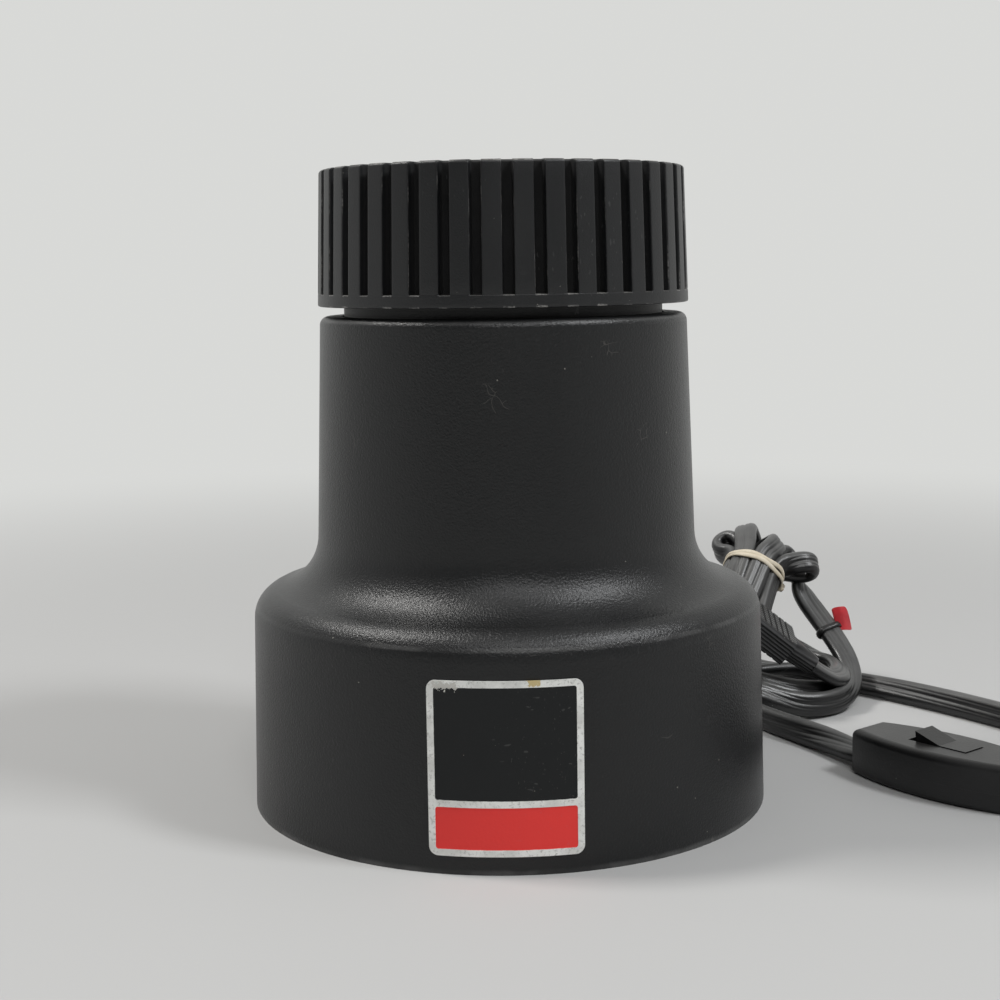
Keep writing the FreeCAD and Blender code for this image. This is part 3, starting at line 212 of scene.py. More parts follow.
def revolve(profile, place, axis, segments, hint=(1.0, 0.0, 0.0)):
    """Vertices and faces of (radius, along) points turned about an axis, closed at both ends."""
    first, second = across(axis, hint)
    onward = np.asarray(axis, float) / np.linalg.norm(axis)
    vertices = []
    for radius, along in profile:
        for j in range(segments):
            turn = 2 * math.pi * j / segments
            outward = first * math.cos(turn) + second * math.sin(turn)
            vertices.append(np.asarray(place) + onward * along + outward * radius)
    return vertices, ring_faces(len(profile), segments, cap_ends=True)


def spline_points(name, points, steps):
    """Points along a smooth line whose control points are given, and the line's object."""
    curve = bpy.data.curves.new(name, "CURVE")
    curve.dimensions = "3D"
    curve.resolution_u = steps
    line = curve.splines.new("NURBS")
    line.points.add(len(points) - 1)
    for point, place in zip(line.points, points):
        point.co = (*place, 1.0)
    line.order_u = 3
    line.use_endpoint_u = True
    holder = bpy.data.objects.new(name, curve)
    bpy.context.scene.collection.objects.link(holder)
    bpy.context.view_layer.update()
    mesh = bpy.data.meshes.new_from_object(holder)
    found = np.array([v.co for v in mesh.vertices], float)
    bpy.data.objects.remove(holder)
    bpy.data.meshes.remove(mesh)
    bpy.data.curves.remove(curve)
    return found


def sweep(line, guides, section, closed=False):
    """Vertices and faces of a section carried along a line. Its first axis follows the guides."""
    if closed:
        tangent = np.roll(line, -1, axis=0) - np.roll(line, 1, axis=0)
    else:
        tangent = np.gradient(line, axis=0)
    tangent = tangent / np.linalg.norm(tangent, axis=1)[:, None]
    flat = guides - tangent * np.sum(guides * tangent, axis=1)[:, None]
    flat = flat / np.linalg.norm(flat, axis=1)[:, None]
    wide = np.cross(tangent, flat)
    vertices = []
    for place, wide_way, flat_way in zip(line, wide, flat):
        for x, y in section:
            vertices.append(place + wide_way * x + flat_way * y)
    return vertices, ring_faces(len(line), len(section), closed_rings=closed, cap_ends=not closed)


def oval(half_wide, half_thick, count):
    """The points of an oval section."""
    turns = np.linspace(0, 2 * math.pi, count, endpoint=False)
    return [(half_wide * math.cos(turn), half_thick * math.sin(turn)) for turn in turns]


def join_form(vertices, faces, more, more_faces):
    """Adds another form's vertices and faces to those of a piece."""
    start = len(vertices)
    vertices += more
    faces += [tuple(start + i for i in face) for face in more_faces]


# ---------------------------------------------------------------- node helpers


def add_node(tree, kind, inputs=None, **settings):
    """A node with its settings, and its inputs given as numbers, colours or other nodes' outputs."""
    node = tree.nodes.new(kind)
    for label, value in settings.items():
        setattr(node, label, value)
    for label, value in (inputs or {}).items():
        socket = node.inputs[label]
        if isinstance(value, bpy.types.NodeSocket):
            tree.links.new(value, socket)
        else:
            socket.default_value = value
    return node


def calc(tree, operation, a, b=0.0, c=0.0, clamp=False):
    """The output of a Math node."""
    node = add_node(tree, "ShaderNodeMath", {0: a, 1: b, 2: c}, operation=operation, use_clamp=clamp)
    return node.outputs[0]


def times(tree, *factors, clamp=False):
    """The product of two or more values, kept between 0 and 1 where clamp is set."""
    product = factors[0]
    for count, factor in enumerate(factors[1:], 2):
        product = calc(tree, "MULTIPLY", product, factor, clamp=clamp and count == len(factors))
    return product


def less(tree, a, b):
    """The first value less the second."""
    return calc(tree, "SUBTRACT", a, b)


def distance(tree, a, b):
    """How far a place lies that is a away one way and b away square to it."""
    return calc(tree, "SQRT", calc(tree, "ADD", times(tree, a, a), times(tree, b, b)))


def vector_calc(tree, operation, a, b=(0.0, 0.0, 0.0)):
    """The node of a Vector Math step."""
    return add_node(tree, "ShaderNodeVectorMath", {0: a, 1: b}, operation=operation)


def split(tree, vector):
    """The three parts of a vector."""
    return add_node(tree, "ShaderNodeSeparateXYZ", {0: vector}).outputs


def marked(tree, label):
    """A mark that the mesh carries."""
    return add_node(tree, "ShaderNodeAttribute", attribute_name=label).outputs["Fac"]


def step_between(tree, value, low, high):
    """0 below low and 1 above high, smooth between them."""
    return add_node(tree, "ShaderNodeMapRange", {"Value": value, "From Min": low, "From Max": high},
                    interpolation_type="SMOOTHSTEP").outputs[0]


def noise(tree, where, scale, detail, roughness=0.5):
    """The value of a Noise texture."""
    return add_node(tree, "ShaderNodeTexNoise",
                    {"Vector": where, "Scale": scale, "Detail": detail, "Roughness": roughness}).outputs[0]


def start_group(name, inputs):
    """A new node group with number inputs and the outputs Mask and Height.

    Returns its tree, its inputs, the place on the object and a function that ends it."""
    tree = bpy.data.node_groups.new(name, "ShaderNodeTree")
    for label, default in inputs:
        socket = tree.interface.new_socket(label, in_out="INPUT", socket_type="NodeSocketFloat")
        socket.default_value = default
    tree.interface.new_socket("Mask", in_out="OUTPUT", socket_type="NodeSocketFloat")
    tree.interface.new_socket("Height", in_out="OUTPUT", socket_type="NodeSocketFloat")
    entry = tree.nodes.new("NodeGroupInput")
    leave = tree.nodes.new("NodeGroupOutput")
    place = tree.nodes.new("ShaderNodeTexCoord").outputs["Object"]

    def end(mask, height):
        tree.links.new(mask, leave.inputs["Mask"])
        tree.links.new(height, leave.inputs["Height"])
        return tree

    return tree, entry.outputs, place, end


def sand_grain_group():
    """Fine sand in sprayed enamel, or the grain of a moulding."""
    tree, given, place, end = start_group("Sand grain", [("Scale", 900.0), ("Contrast", 0.5)])
    fine = noise(tree, place, given["Scale"], 3.0, 0.65)
    cells = add_node(tree, "ShaderNodeTexVoronoi", {"Vector": place, "Scale": given["Scale"]}).outputs[0]
    height = calc(tree, "ADD", fine, times(tree, cells, -0.35))
    low = less(tree, 0.62, times(tree, given["Contrast"], 0.12))
    return end(step_between(tree, fine, low, 0.74), height)


def cloudy_tone_group():
    """Slow, soft changes of tone over a surface."""
    tree, given, place, end = start_group("Cloudy tone", [("Scale", 30.0), ("Amount", 0.5)])
    slow = noise(tree, place, given["Scale"], 4.0, 0.55)
    return end(times(tree, step_between(tree, slow, 0.35, 0.7), given["Amount"]), slow)


def dust_and_sheen_group():
    """Specks and short lint all over, and a lighter film where the surface looks up: settled dust, and on the
    lead a painted sheen.
    """
    tree, given, place, end = start_group("Dust and lint", [("Scale", 260.0), ("Specks", 0.5), ("Film and sheen", 0.2)])
    cells = add_node(tree, "ShaderNodeTexVoronoi", {"Vector": place, "Scale": given["Scale"]})
    chance = add_node(tree, "ShaderNodeSeparateColor", {0: cells.outputs["Color"]}).outputs[0]
    chosen = calc(tree, "GREATER_THAN", chance, less(tree, 1.0, times(tree, given["Specks"], 0.10)))
    middle = calc(tree, "LESS_THAN", cells.outputs["Distance"], 0.12)
    speck = times(tree, middle, times(tree, chosen, 0.55))
    wander = add_node(tree, "ShaderNodeTexNoise", {"Vector": place, "Scale": 90.0}).outputs["Color"]
    wander = vector_calc(tree, "MULTIPLY", wander, (0.012, 0.012, 0.012)).outputs[0]
    bent = vector_calc(tree, "ADD", place, wander).outputs[0]
    net = {"Vector": bent, "Scale": times(tree, given["Scale"], 0.36)}
    strand = add_node(tree, "ShaderNodeTexVoronoi", net, feature="DISTANCE_TO_EDGE").outputs[0]
    broken = step_between(tree, noise(tree, place, 70.0, 1.0), 0.715, 0.74)
    lint = times(tree, calc(tree, "LESS_THAN", strand, 0.018), times(tree, broken, 0.5))
    upward = split(tree, tree.nodes.new("ShaderNodeNewGeometry").outputs["Normal"])[2]
    # Faces that look up: dust settles there, and on the lead the painted sheen lies there.
    facing_up = step_between(tree, upward, 0.1, 0.95)
    film = times(tree, noise(tree, place, 55.0, 5.0, 0.6), facing_up, given["Film and sheen"])
    specks = calc(tree, "MAXIMUM", speck, times(tree, lint, 0.18))
    return end(calc(tree, "MAXIMUM", specks, film, clamp=True), specks)


def ring_wear_and_sheen_group():
    """Wear along the edge of a turned shape, and on the housing's shoulder a painted highlight line: a ring
    of one radius at one height.
    """
    tree, given, place, end = start_group(
        "Ring wear and sheen", [("Radius", 0.05), ("Height", 0.1), ("Reach", 0.0008), ("Amount", 0.5)])
    parts = split(tree, place)
    off_radius = less(tree, distance(tree, parts[0], parts[1]), given["Radius"])
    off_height = less(tree, parts[2], given["Height"])
    ragged = times(tree, noise(tree, place, 160.0, 5.0, 0.7), given["Reach"])
    off = less(tree, distance(tree, off_radius, off_height), ragged)
    near = step_between(tree, off, given["Reach"], 0.0)
    worn = step_between(tree, noise(tree, place, 42.0, 4.0, 0.6), 0.42, 0.60)
    patchy = calc(tree, "MULTIPLY_ADD", worn, 0.75, 0.25)
    mask = times(tree, near, patchy, given["Amount"], clamp=True)
    return end(mask, mask)


def edge_wear_group():
    """Wear on the edges marked in the mesh's edge attribute, broken up by patches."""
    tree, given, place, end = start_group("Edge wear", [("Amount", 0.5), ("Patch scale", 60.0)])
    patches = step_between(tree, noise(tree, place, given["Patch scale"], 3.0, 0.6), 0.36, 0.66)
    fine = step_between(tree, noise(tree, place, 1400.0, 2.0, 0.7), 0.30, 0.62)
    spread = calc(tree, "ADD", marked(tree, "edge"), calc(tree, "MULTIPLY_ADD", patches, 0.45, -0.30))
    mask = times(tree, step_between(tree, spread, 0.42, 0.92), fine, given["Amount"], clamp=True)
    return end(mask, mask)


def groove_shade_group():
    """Painted shade: dark, dull floors of the grooves, where the mesh marks how sunk they are."""
    tree, given, place, end = start_group("Painted groove shade", [("Amount", 0.5)])
    uneven = calc(tree, "MULTIPLY_ADD", noise(tree, place, 130.0, 3.0), 0.3, 0.8)
    # The deeper the floor lies, the darker its painted shade.
    mask = times(tree, marked(tree, "groove_shade"), uneven, given["Amount"], clamp=True)
    return end(mask, mask)


def scuff_group():
    """Short fine scratches in two directions."""
    tree, given, place, end = start_group("Scuffs", [("Scale", 60.0), ("Amount", 0.3)])
    lines = []
    for turn, stretch in (((0.3, 0.5, 0.9), (1.0, 14.0, 5.0)), ((1.1, -0.4, 0.2), (16.0, 1.0, 6.0))):
        mapping = {"Vector": place, "Rotation": turn, "Scale": stretch}
        turned = add_node(tree, "ShaderNodeMapping", mapping).outputs[0]
        lines.append(step_between(tree, noise(tree, turned, given["Scale"], 2.0, 0.4), 0.70, 0.735))
    patch = step_between(tree, noise(tree, place, 32.0, 2.0), 0.52, 0.62)
    scratched = calc(tree, "MAXIMUM", lines[0], lines[1])
    mask = times(tree, scratched, patch, given["Amount"], clamp=True)
    return end(mask, mask)


def turned_group():
    """Fine tool rings of turned or rolled metal, about the upright axis."""
    tree, given, place, end = start_group("Turned rings", [("Pitch", 0.0004), ("Amount", 0.5)])
    parts = split(tree, place)
    radius = distance(tree, parts[0], parts[1])
    along = calc(tree, "DIVIDE", calc(tree, "ADD", radius, parts[2]), given["Pitch"])
    wave = calc(tree, "MULTIPLY_ADD", calc(tree, "SINE", times(tree, along, 2 * math.pi)), 0.5, 0.5)
    rings = {"W": along, "Scale": 0.7}
    uneven = add_node(tree, "ShaderNodeTexNoise", rings, noise_dimensions="1D").outputs[0]
    height = times(tree, wave, uneven)
    return end(times(tree, step_between(tree, height, 0.2, 0.6), given["Amount"]), height)


def field_group():
    """A field on the name plate, between two sides, a foot and a top, with rounded corners."""
    tree, given, place, end = start_group(
        "Plate field", [("Left", -0.01), ("Right", 0.01), ("Foot", 0.0), ("Top", 0.01), ("Corner", 0.001),
                        ("Ragged", 0.00016)])
    parts = split(tree, place)
    past = []
    for part, low, high in ((parts[0], "Left", "Right"), (parts[2], "Foot", "Top")):
        middle = times(tree, calc(tree, "ADD", given[low], given[high]), 0.5)
        half = times(tree, less(tree, given[high], given[low]), 0.5)
        off = calc(tree, "ABSOLUTE", less(tree, part, middle))
        past.append(calc(tree, "MAXIMUM", less(tree, off, less(tree, half, given["Corner"])), 0.0))
    ragged = times(tree, less(tree, noise(tree, place, 900.0, 3.0, 0.7), 0.5), given["Ragged"])
    over = less(tree, calc(tree, "ADD", distance(tree, *past), ragged), given["Corner"])
    mask = step_between(tree, over, 0.00005, -0.00005)
    return end(mask, mask)


def ridge_group():
    """Straight ridges along one direction of a moulding."""
    sides = ("Along X", "Along Y", "Along Z")
    tree, given, place, end = start_group("Ridges", [*zip(sides, (1.0, 0.0, 0.0)), ("Pitch", 0.001)])
    parts = {i: given[side] for i, side in enumerate(sides)}
    direction = add_node(tree, "ShaderNodeCombineXYZ", parts).outputs[0]
    along = vector_calc(tree, "DOT_PRODUCT", place, direction).outputs["Value"]
    wave = calc(tree, "SINE", times(tree, calc(tree, "DIVIDE", along, given["Pitch"]), 2 * math.pi))
    height = calc(tree, "MULTIPLY_ADD", wave, 0.5, 0.5)
    return end(step_between(tree, height, 0.55, 0.95), height)


GROUP_MAKERS = {
    "Sand grain": sand_grain_group, "Cloudy tone": cloudy_tone_group, "Dust and lint": dust_and_sheen_group,
    "Ring wear and sheen": ring_wear_and_sheen_group, "Edge wear": edge_wear_group, "Painted groove shade": groove_shade_group, "Scuffs": scuff_group,
    "Turned rings": turned_group, "Plate field": field_group, "Ridges": ridge_group,
}


def make_finish(name, base, roughness, layers, metallic=0.0, plain=None):
    """A material: a base colour and gloss, with layers of effects laid on it in order.

    A layer is (group name, its input values, changes). The changes may be a colour, a roughness and a
    metallic that its mask brings in, and a bump in metres that its height raises."""
    if name in bpy.data.materials:
        return bpy.data.materials[name]
    material = bpy.data.materials.new(name)
    material.use_nodes = True
    material.diffuse_color = (*base, 1.0)
    tree = material.node_tree
    shader = tree.nodes["Principled BSDF"]
    shader.inputs["Metallic"].default_value = metallic
    shader.inputs["Roughness"].default_value = roughness
    shader.inputs["Base Color"].default_value = (*base, 1.0)
    for label, value in (plain or {}).items():
        shader.inputs[label].default_value = value
    now = {"Base Color": (*base, 1.0), "Roughness": roughness, "Metallic": metallic}
    normal = None
    for label, values, changes in layers:
        group = bpy.data.node_groups.get(label) or GROUP_MAKERS[label]()
        effect = add_node(tree, "ShaderNodeGroup", node_tree=group)
        for socket, value in values.items():
            effect.inputs[socket].default_value = value
        mask, height = effect.outputs["Mask"], effect.outputs["Height"]
        for target in ("Base Color", "Roughness", "Metallic"):
            if target not in changes:
                continue
            is_colour = target == "Base Color"
            mix = add_node(tree, "ShaderNodeMix", data_type="RGBA" if is_colour else "FLOAT")
            a, b = (6, 7) if is_colour else (2, 3)
            tree.links.new(mask, mix.inputs[0])
            if isinstance(now[target], bpy.types.NodeSocket):
                tree.links.new(now[target], mix.inputs[a])
            else:
                mix.inputs[a].default_value = now[target]
            mix.inputs[b].default_value = (*changes[target], 1.0) if is_colour else changes[target]
            now[target] = mix.outputs[2 if is_colour else 0]
        if "Bump" in changes:
            raised = {"Height": height, "Strength": 1.0, "Distance": changes["Bump"]}
            bump = add_node(tree, "ShaderNodeBump", raised)
            if normal is not None:
                tree.links.new(normal, bump.inputs["Normal"])
            normal = bump.outputs["Normal"]
    for target, value in now.items():
        if isinstance(value, bpy.types.NodeSocket):
            tree.links.new(value, shader.inputs[target])
    if normal is not None:
        tree.links.new(normal, shader.inputs["Normal"])
    return material


def dress(piece, material):
    """Gives a piece one material."""
    piece.data.materials.clear()
    piece.data.materials.append(material)


def dress_nodes(material, *names):
    """Gives the named solids one material."""
    for name in names:
        dress(NODES[name], material)


# ---------------------------------------------------------------- layers of a finish


def brings(base=None, roughness=None, metallic=None, bump=None):
    """What a layer changes, by the name of what it feeds."""
    found = {"Base Color": base, "Roughness": roughness, "Metallic": metallic, "Bump": bump}
    return {label: value for label, value in found.items() if value is not None}


def clouds(scale, amount, base=None, roughness=None):
    """Slow changes of tone."""
    return "Cloudy tone", {"Scale": scale, "Amount": amount}, brings(base, roughness)


def sand(scale, contrast, bump, base=None, roughness=None):
    """Fine sand or grain."""
    return "Sand grain", {"Scale": scale, "Contrast": contrast}, brings(base, roughness, bump=bump)


def scuffs(scale, amount, base=None, roughness=None, metallic=None):
    """Short scratches."""
    return "Scuffs", {"Scale": scale, "Amount": amount}, brings(base, roughness, metallic)


def dust(scale, specks, film, base=None, roughness=0.9, metallic=None):
    """Dust and lint, with a lighter film where the surface looks up, which on the lead is a painted sheen."""
    values = {"Scale": scale, "Specks": specks, "Film and sheen": film}
    return "Dust and lint", values, brings(base, roughness, metallic)


def edge_wear(amount, patch_scale, base, roughness):
    """Wear along the edges that the mesh marks."""
    return "Edge wear", {"Amount": amount, "Patch scale": patch_scale}, brings(base, roughness)


def ring_wear_and_sheen(radius, height, reach, amount, base, roughness):
    """Wear along one turned edge; on the housing's shoulder it is a painted highlight line."""
    values = {"Radius": radius, "Height": height, "Reach": reach, "Amount": amount}
    return "Ring wear and sheen", values, brings(base, roughness)


def tool_rings(pitch, amount, bump, base=None, roughness=None):
    """Rings left by turning or rolling."""
    return "Turned rings", {"Pitch": pitch, "Amount": amount}, brings(base, roughness, bump=bump)


def field(sides, ends, corner, changes, ragged=0.00016):
    """A printed or stained field of the plate, between two sides and a foot and a top."""
    values = {"Left": sides[0], "Right": sides[1], "Foot": ends[0], "Top": ends[1], "Corner": corner,
              "Ragged": ragged}
    return "Plate field", values, changes


# ---------------------------------------------------------------- finishes


def enamel_finish(look):
    """Matt black enamel with fine sand in it, worn along the turned edges, and a painted highlight line along
    the shoulder's edge.
    """
    # Radius and height of the edges that wear; at the shoulder's edge the lighter ring is a painted highlight
    # line.
    shoulder_highlight_line, mouth, foot = (0.0741, 0.0592), (0.0532, 0.1424), (0.0762, 0.0)
    return make_finish("Housing enamel", look.enamel, 0.34, [
        clouds(26.0, 0.5, (0.0060, 0.0064, 0.0068), 0.39),
        sand(1500.0, 0.6, 0.00014, (0.0080, 0.0084, 0.0090)),
        # Painted highlight: a thin lighter ring along the shoulder's edge, patchy like wear.
        ring_wear_and_sheen(*shoulder_highlight_line, 0.0006, 0.65, look.enamel_worn_and_sheen, 0.34),
        ring_wear_and_sheen(*mouth, 0.0007, 0.55, look.enamel_worn_and_sheen, 0.34),
        ring_wear_and_sheen(*foot, 0.0012, 0.8, look.enamel_worn_and_sheen, 0.34),
        scuffs(70.0, 0.15, (0.06, 0.06, 0.058), 0.55),
        dust(560.0, 0.10, 0.012, look.dust),
    ], plain={"Specular IOR Level": 0.48})


def cap_finish(look):
    """Semi-matt black moulding with chalky wear on its rib edges, and painted shade on its groove floors."""
    return make_finish("Cap moulding", look.cap, 0.40, [
        clouds(45.0, 0.6, (0.010, 0.0104, 0.0110), 0.44),
        sand(1900.0, 0.3, 0.00006),
        # Painted shade: near-black, dull groove floors, where the ribs shade them.
        ("Painted groove shade", {"Amount": 0.95}, brings((0.0010, 0.0010, 0.0012), 0.95)),
        edge_wear(0.55, 70.0, look.cap_worn, 0.7),
        scuffs(90.0, 0.3, (0.08, 0.08, 0.078), 0.6),
        dust(1000.0, 0.10, 0.06, look.dust),
    ])


def collar_finish():
    """Matt black paint on rolled sheet."""
    return make_finish("Collar black", (0.0055, 0.0055, 0.0060), 0.5, [
        tool_rings(0.0009, 0.35, 0.00003, (0.012, 0.012, 0.0125)),
        sand(1800.0, 0.3, 0.00006),
        scuffs(50.0, 0.4, (0.16, 0.16, 0.155), 0.35, 0.7),
    ])


def metal_finish(name, base, roughness, pitch, tarnish):
    """Turned or drawn metal with fine rings, tarnish and scratches."""
    return make_finish(name, base, roughness, [
        tool_rings(pitch, 0.35, 0.00001, roughness=roughness + 0.15),
        clouds(60.0, 0.5, tarnish, roughness + 0.2),
        scuffs(80.0, 0.4, roughness=roughness + 0.25),
    ], metallic=1.0)


def glass_finish():
    """Polished lens glass with a faint film on it."""
    return make_finish("Lens glass", (0.93, 0.97, 0.96), 0.015, [
        dust(240.0, 0.25, 0.06, roughness=0.35),
        clouds(40.0, 0.08, roughness=0.12),
    ], plain={"Transmission Weight": 1.0, "IOR": 1.517})


def opal_finish():
    """Opal lamp glass, with its coat a little uneven."""
    return make_finish("Opal glass", (0.93, 0.91, 0.87), 0.16, [
        clouds(35.0, 0.6, (0.88, 0.85, 0.80), 0.24),
        dust(260.0, 0.4, 0.2, (0.62, 0.60, 0.55), 0.6),
    ], plain={"Subsurface Weight": 0.1, "Subsurface Scale": 0.004})


def lamp_base_glass_finish():
    """Near-black glass in the end of the lamp's base."""
    return make_finish("Lamp base glass", (0.012, 0.012, 0.03), 0.12, [
        clouds(120.0, 0.6, (0.03, 0.03, 0.05), 0.3),
    ])


def porcelain_finish():
    """Glazed porcelain of the socket."""
    return make_finish("Porcelain", (0.82, 0.80, 0.74), 0.14, [
        clouds(90.0, 0.5, (0.74, 0.70, 0.60), 0.22),
        dust(380.0, 0.8, 0.3, (0.30, 0.25, 0.18), 0.7),
    ])


def moulding_finish(look):
    """Satin black moulding of the switch, gland, nut and tag tie."""
    return make_finish("Black moulding", look.moulding, 0.34, [
        sand(1300.0, 0.2, 0.00005),
        clouds(70.0, 0.6, (0.010, 0.010, 0.0105), 0.40),
        scuffs(110.0, 0.5, (0.07, 0.07, 0.069), 0.55),
        dust(600.0, 0.2, 0.05, look.dust),
    ])


def vinyl_finish(look):
    """Black vinyl of the lead, polished by handling on its ribs, with a painted sheen on the faces that look
    up.
    """
    return make_finish("Lead vinyl", look.vinyl, 0.28, [
        clouds(80.0, 0.7, (0.011, 0.011, 0.0115), 0.38),
        sand(2200.0, 0.2, 0.00003),
        edge_wear(0.45, 50.0, (0.075, 0.075, 0.075), 0.36),
        # Painted sheen: a pale film on the faces that look up, where the lamps would reflect; a few dust
        # specks as well.
        dust(700.0, 0.25, 0.45, (0.36, 0.36, 0.35), 0.6),
    ], plain={"Specular IOR Level": 0.58})


def plug_finish(look):
    """Plug vinyl with fine ridges across the plug, which lies aslant."""
    ridges = {"Along X": -0.581, "Along Y": 0.634, "Along Z": -0.714, "Pitch": 0.0012}
    return make_finish("Plug vinyl", look.vinyl, 0.32, [
        ("Ridges", ridges, brings((0.060, 0.060, 0.061), bump=0.00030)),
        clouds(80.0, 0.6, (0.016, 0.016, 0.0165), 0.42),
        dust(700.0, 0.3, 0.06, look.dust),
    ])


def rubber_finish(look):
    """Natural rubber of the tie, dull and a little dirty."""
    return make_finish("Natural rubber", look.band, 0.55, [
        clouds(240.0, 0.7, (0.78, 0.72, 0.60), 0.7),
        dust(900.0, 0.8, 0.1, (0.20, 0.17, 0.13)),
    ])


def tag_finish(look):
    """Red tag, rubbed and scuffed."""
    return make_finish("Red tag", look.tag, 0.42, [
        clouds(170.0, 0.7, (0.42, 0.02, 0.03), 0.6),
        scuffs(160.0, 0.5, (0.75, 0.40, 0.38), 0.7),
    ])


def plate_finish(look):
    """Etched metal frame with two printed fields, rubbed at one corner and stained at the top."""
    foot, top = PLATE_LOW[2], PLATE_HIGH[2]
    border, bar, lower_height, corner = 0.0018, 0.0018, 0.0112, 0.0007
    inner_left, inner_right, inner_top = PLATE_LOW[0] + border, PLATE_HIGH[0] - border, top - border
    lower_top = foot + border + lower_height
    inner = (inner_left, inner_right)
    rubbed = (inner_left - 0.0005, inner_left + 0.0062), (inner_top - 0.0004, inner_top + 0.0012)
    stain = (0.0050, 0.0078), (top - 0.0016, top + 0.001)
    return make_finish("Name plate", look.plate_metal, 0.34, [
        sand(1100.0, 0.9, 0.00006, (0.50, 0.50, 0.48), 0.5),
        clouds(190.0, 0.6, (0.60, 0.60, 0.57), 0.45),
        field(*stain, 0.0008, brings((0.62, 0.50, 0.26), 0.6), 0.0040),
        field(inner, (lower_top + bar, inner_top), corner, brings(look.plate_upper, 0.30, 0.0)),
        field(inner, (foot + border, lower_top), corner, brings(look.plate_lower, 0.38, 0.0)),
        field(*rubbed, 0.0006, brings((0.62, 0.61, 0.57), 0.5), 0.0052),
        scuffs(190.0, 0.12, (0.30, 0.29, 0.28), 0.5),
        dust(1100.0, 0.08, 0.01, look.dust, metallic=0.0),
    ], metallic=0.2, plain={"Specular IOR Level": 0.33})


def floor_finish(settings):
    """A plain pale floor that keeps the head's shadow and runs, further off, into an evenly pale backdrop."""
    cloudy = tuple(c * 0.98 for c in settings.floor)
    material = make_finish("Plain floor", settings.floor, 0.7, [clouds(3.0, 0.3, cloudy)])
    tree = material.node_tree
    rays = tree.nodes.new("ShaderNodeLightPath").outputs
    seen = calc(tree, "MAXIMUM", rays["Is Camera Ray"], rays["Is Glossy Ray"])
    seen = calc(tree, "MAXIMUM", seen, rays["Is Transmission Ray"])
    place = tree.nodes.new("ShaderNodeTexCoord").outputs["Object"]
    off = vector_calc(tree, "LENGTH", place).outputs["Value"]
    share = times(tree, seen, step_between(tree, off, 0.24, 0.85))
    glow = add_node(tree, "ShaderNodeEmission", {"Color": (*settings.backdrop, 1.0), "Strength": 1.0})
    mix = add_node(tree, "ShaderNodeMixShader", {0: share})
    tree.links.new(tree.nodes["Principled BSDF"].outputs[0], mix.inputs[1])
    tree.links.new(glow.outputs[0], mix.inputs[2])
    tree.links.new(mix.outputs[0], tree.nodes["Material Output"].inputs["Surface"])
    return material


# ---------------------------------------------------------------- the lead's route

# Each row is a control point in metres, and the way that the lead's flat face turns there.
RUN_TO_SWITCH = (
    ((0.0000, 0.0985, 0.0160), (1.0, 0.0, 0.0)),
    ((0.0000, 0.1121, 0.0160), (1.0, 0.0, 0.0)),
    ((0.0000, 0.1238, 0.0160), (1.0, 0.3, 0.0)),
    ((0.0070, 0.1355, 0.0128), (0.7, -0.7, 0.0)),
    ((0.0220, 0.1420, 0.0076), (0.0, -1.0, 0.0)),
    ((0.0370, 0.1380, 0.0046), (-0.4, -0.9, 0.0)),
    ((0.0500, 0.1260, 0.0044), (-0.7, -0.7, 0.0)),
    ((0.0610, 0.1100, 0.0044), (-0.85, -0.5, 0.0)),
    ((0.0710, 0.0930, 0.0044), (-0.9, -0.4, 0.0)),
    ((0.0790, 0.0750, 0.0044), (-0.9, -0.35, 0.0)),
    ((0.0860, 0.0575, 0.0044), (-0.9, -0.35, 0.0)),
    ((0.0950, 0.0420, 0.0044), (-0.85, -0.5, 0.15)),
    ((0.1040, 0.0280, 0.0042), (-0.6, -0.35, 0.7)),
    ((0.1108, 0.0133, 0.0039), (-0.1, -0.1, 1.0)),
    ((0.1234, -0.0018, 0.0039), (0.0, 0.0, 1.0)),
    ((0.1360, -0.0168, 0.0039), (0.0, 0.0, 1.0)),
    ((0.1485, -0.0317, 0.0039), (0.0, 0.0, 1.0)),
)
RUN_BACK = (
    ((0.1580, -0.0430, 0.0042), (0.5, 0.5, 0.75)),
    ((0.1730, -0.0490, 0.0045), (-0.1, 1.0, 0.1)),
    ((0.1880, -0.0420, 0.0045), (-0.8, 0.7, 0.0)),
    ((0.1950, -0.0260, 0.0045), (-1.0, 0.1, 0.0)),
    ((0.1925, -0.0050, 0.0045), (-1.0, -0.2, 0.0)),
    ((0.1855, 0.0180, 0.0045), (-0.95, -0.35, 0.05)),
    ((0.1750, 0.0420, 0.0045), (-0.9, -0.4, 0.15)),
    ((0.1600, 0.0660, 0.0044), (-0.8, -0.5, 0.3)),
    ((0.1430, 0.0890, 0.0042), (-0.6, -0.5, 0.5)),
    ((0.1270, 0.1070, 0.0038), (-0.4, -0.5, 0.75)),
    ((0.1150, 0.1155, 0.0036), (-0.3, -0.5, 0.8)),
    ((0.1030, 0.1205, 0.0038), (-0.2, -0.6, 0.75)),
    ((0.0910, 0.1210, 0.0062), (0.1, -0.7, 0.7)),
    ((0.0805, 0.1160, 0.0120), (0.5, -0.7, 0.5)),
)
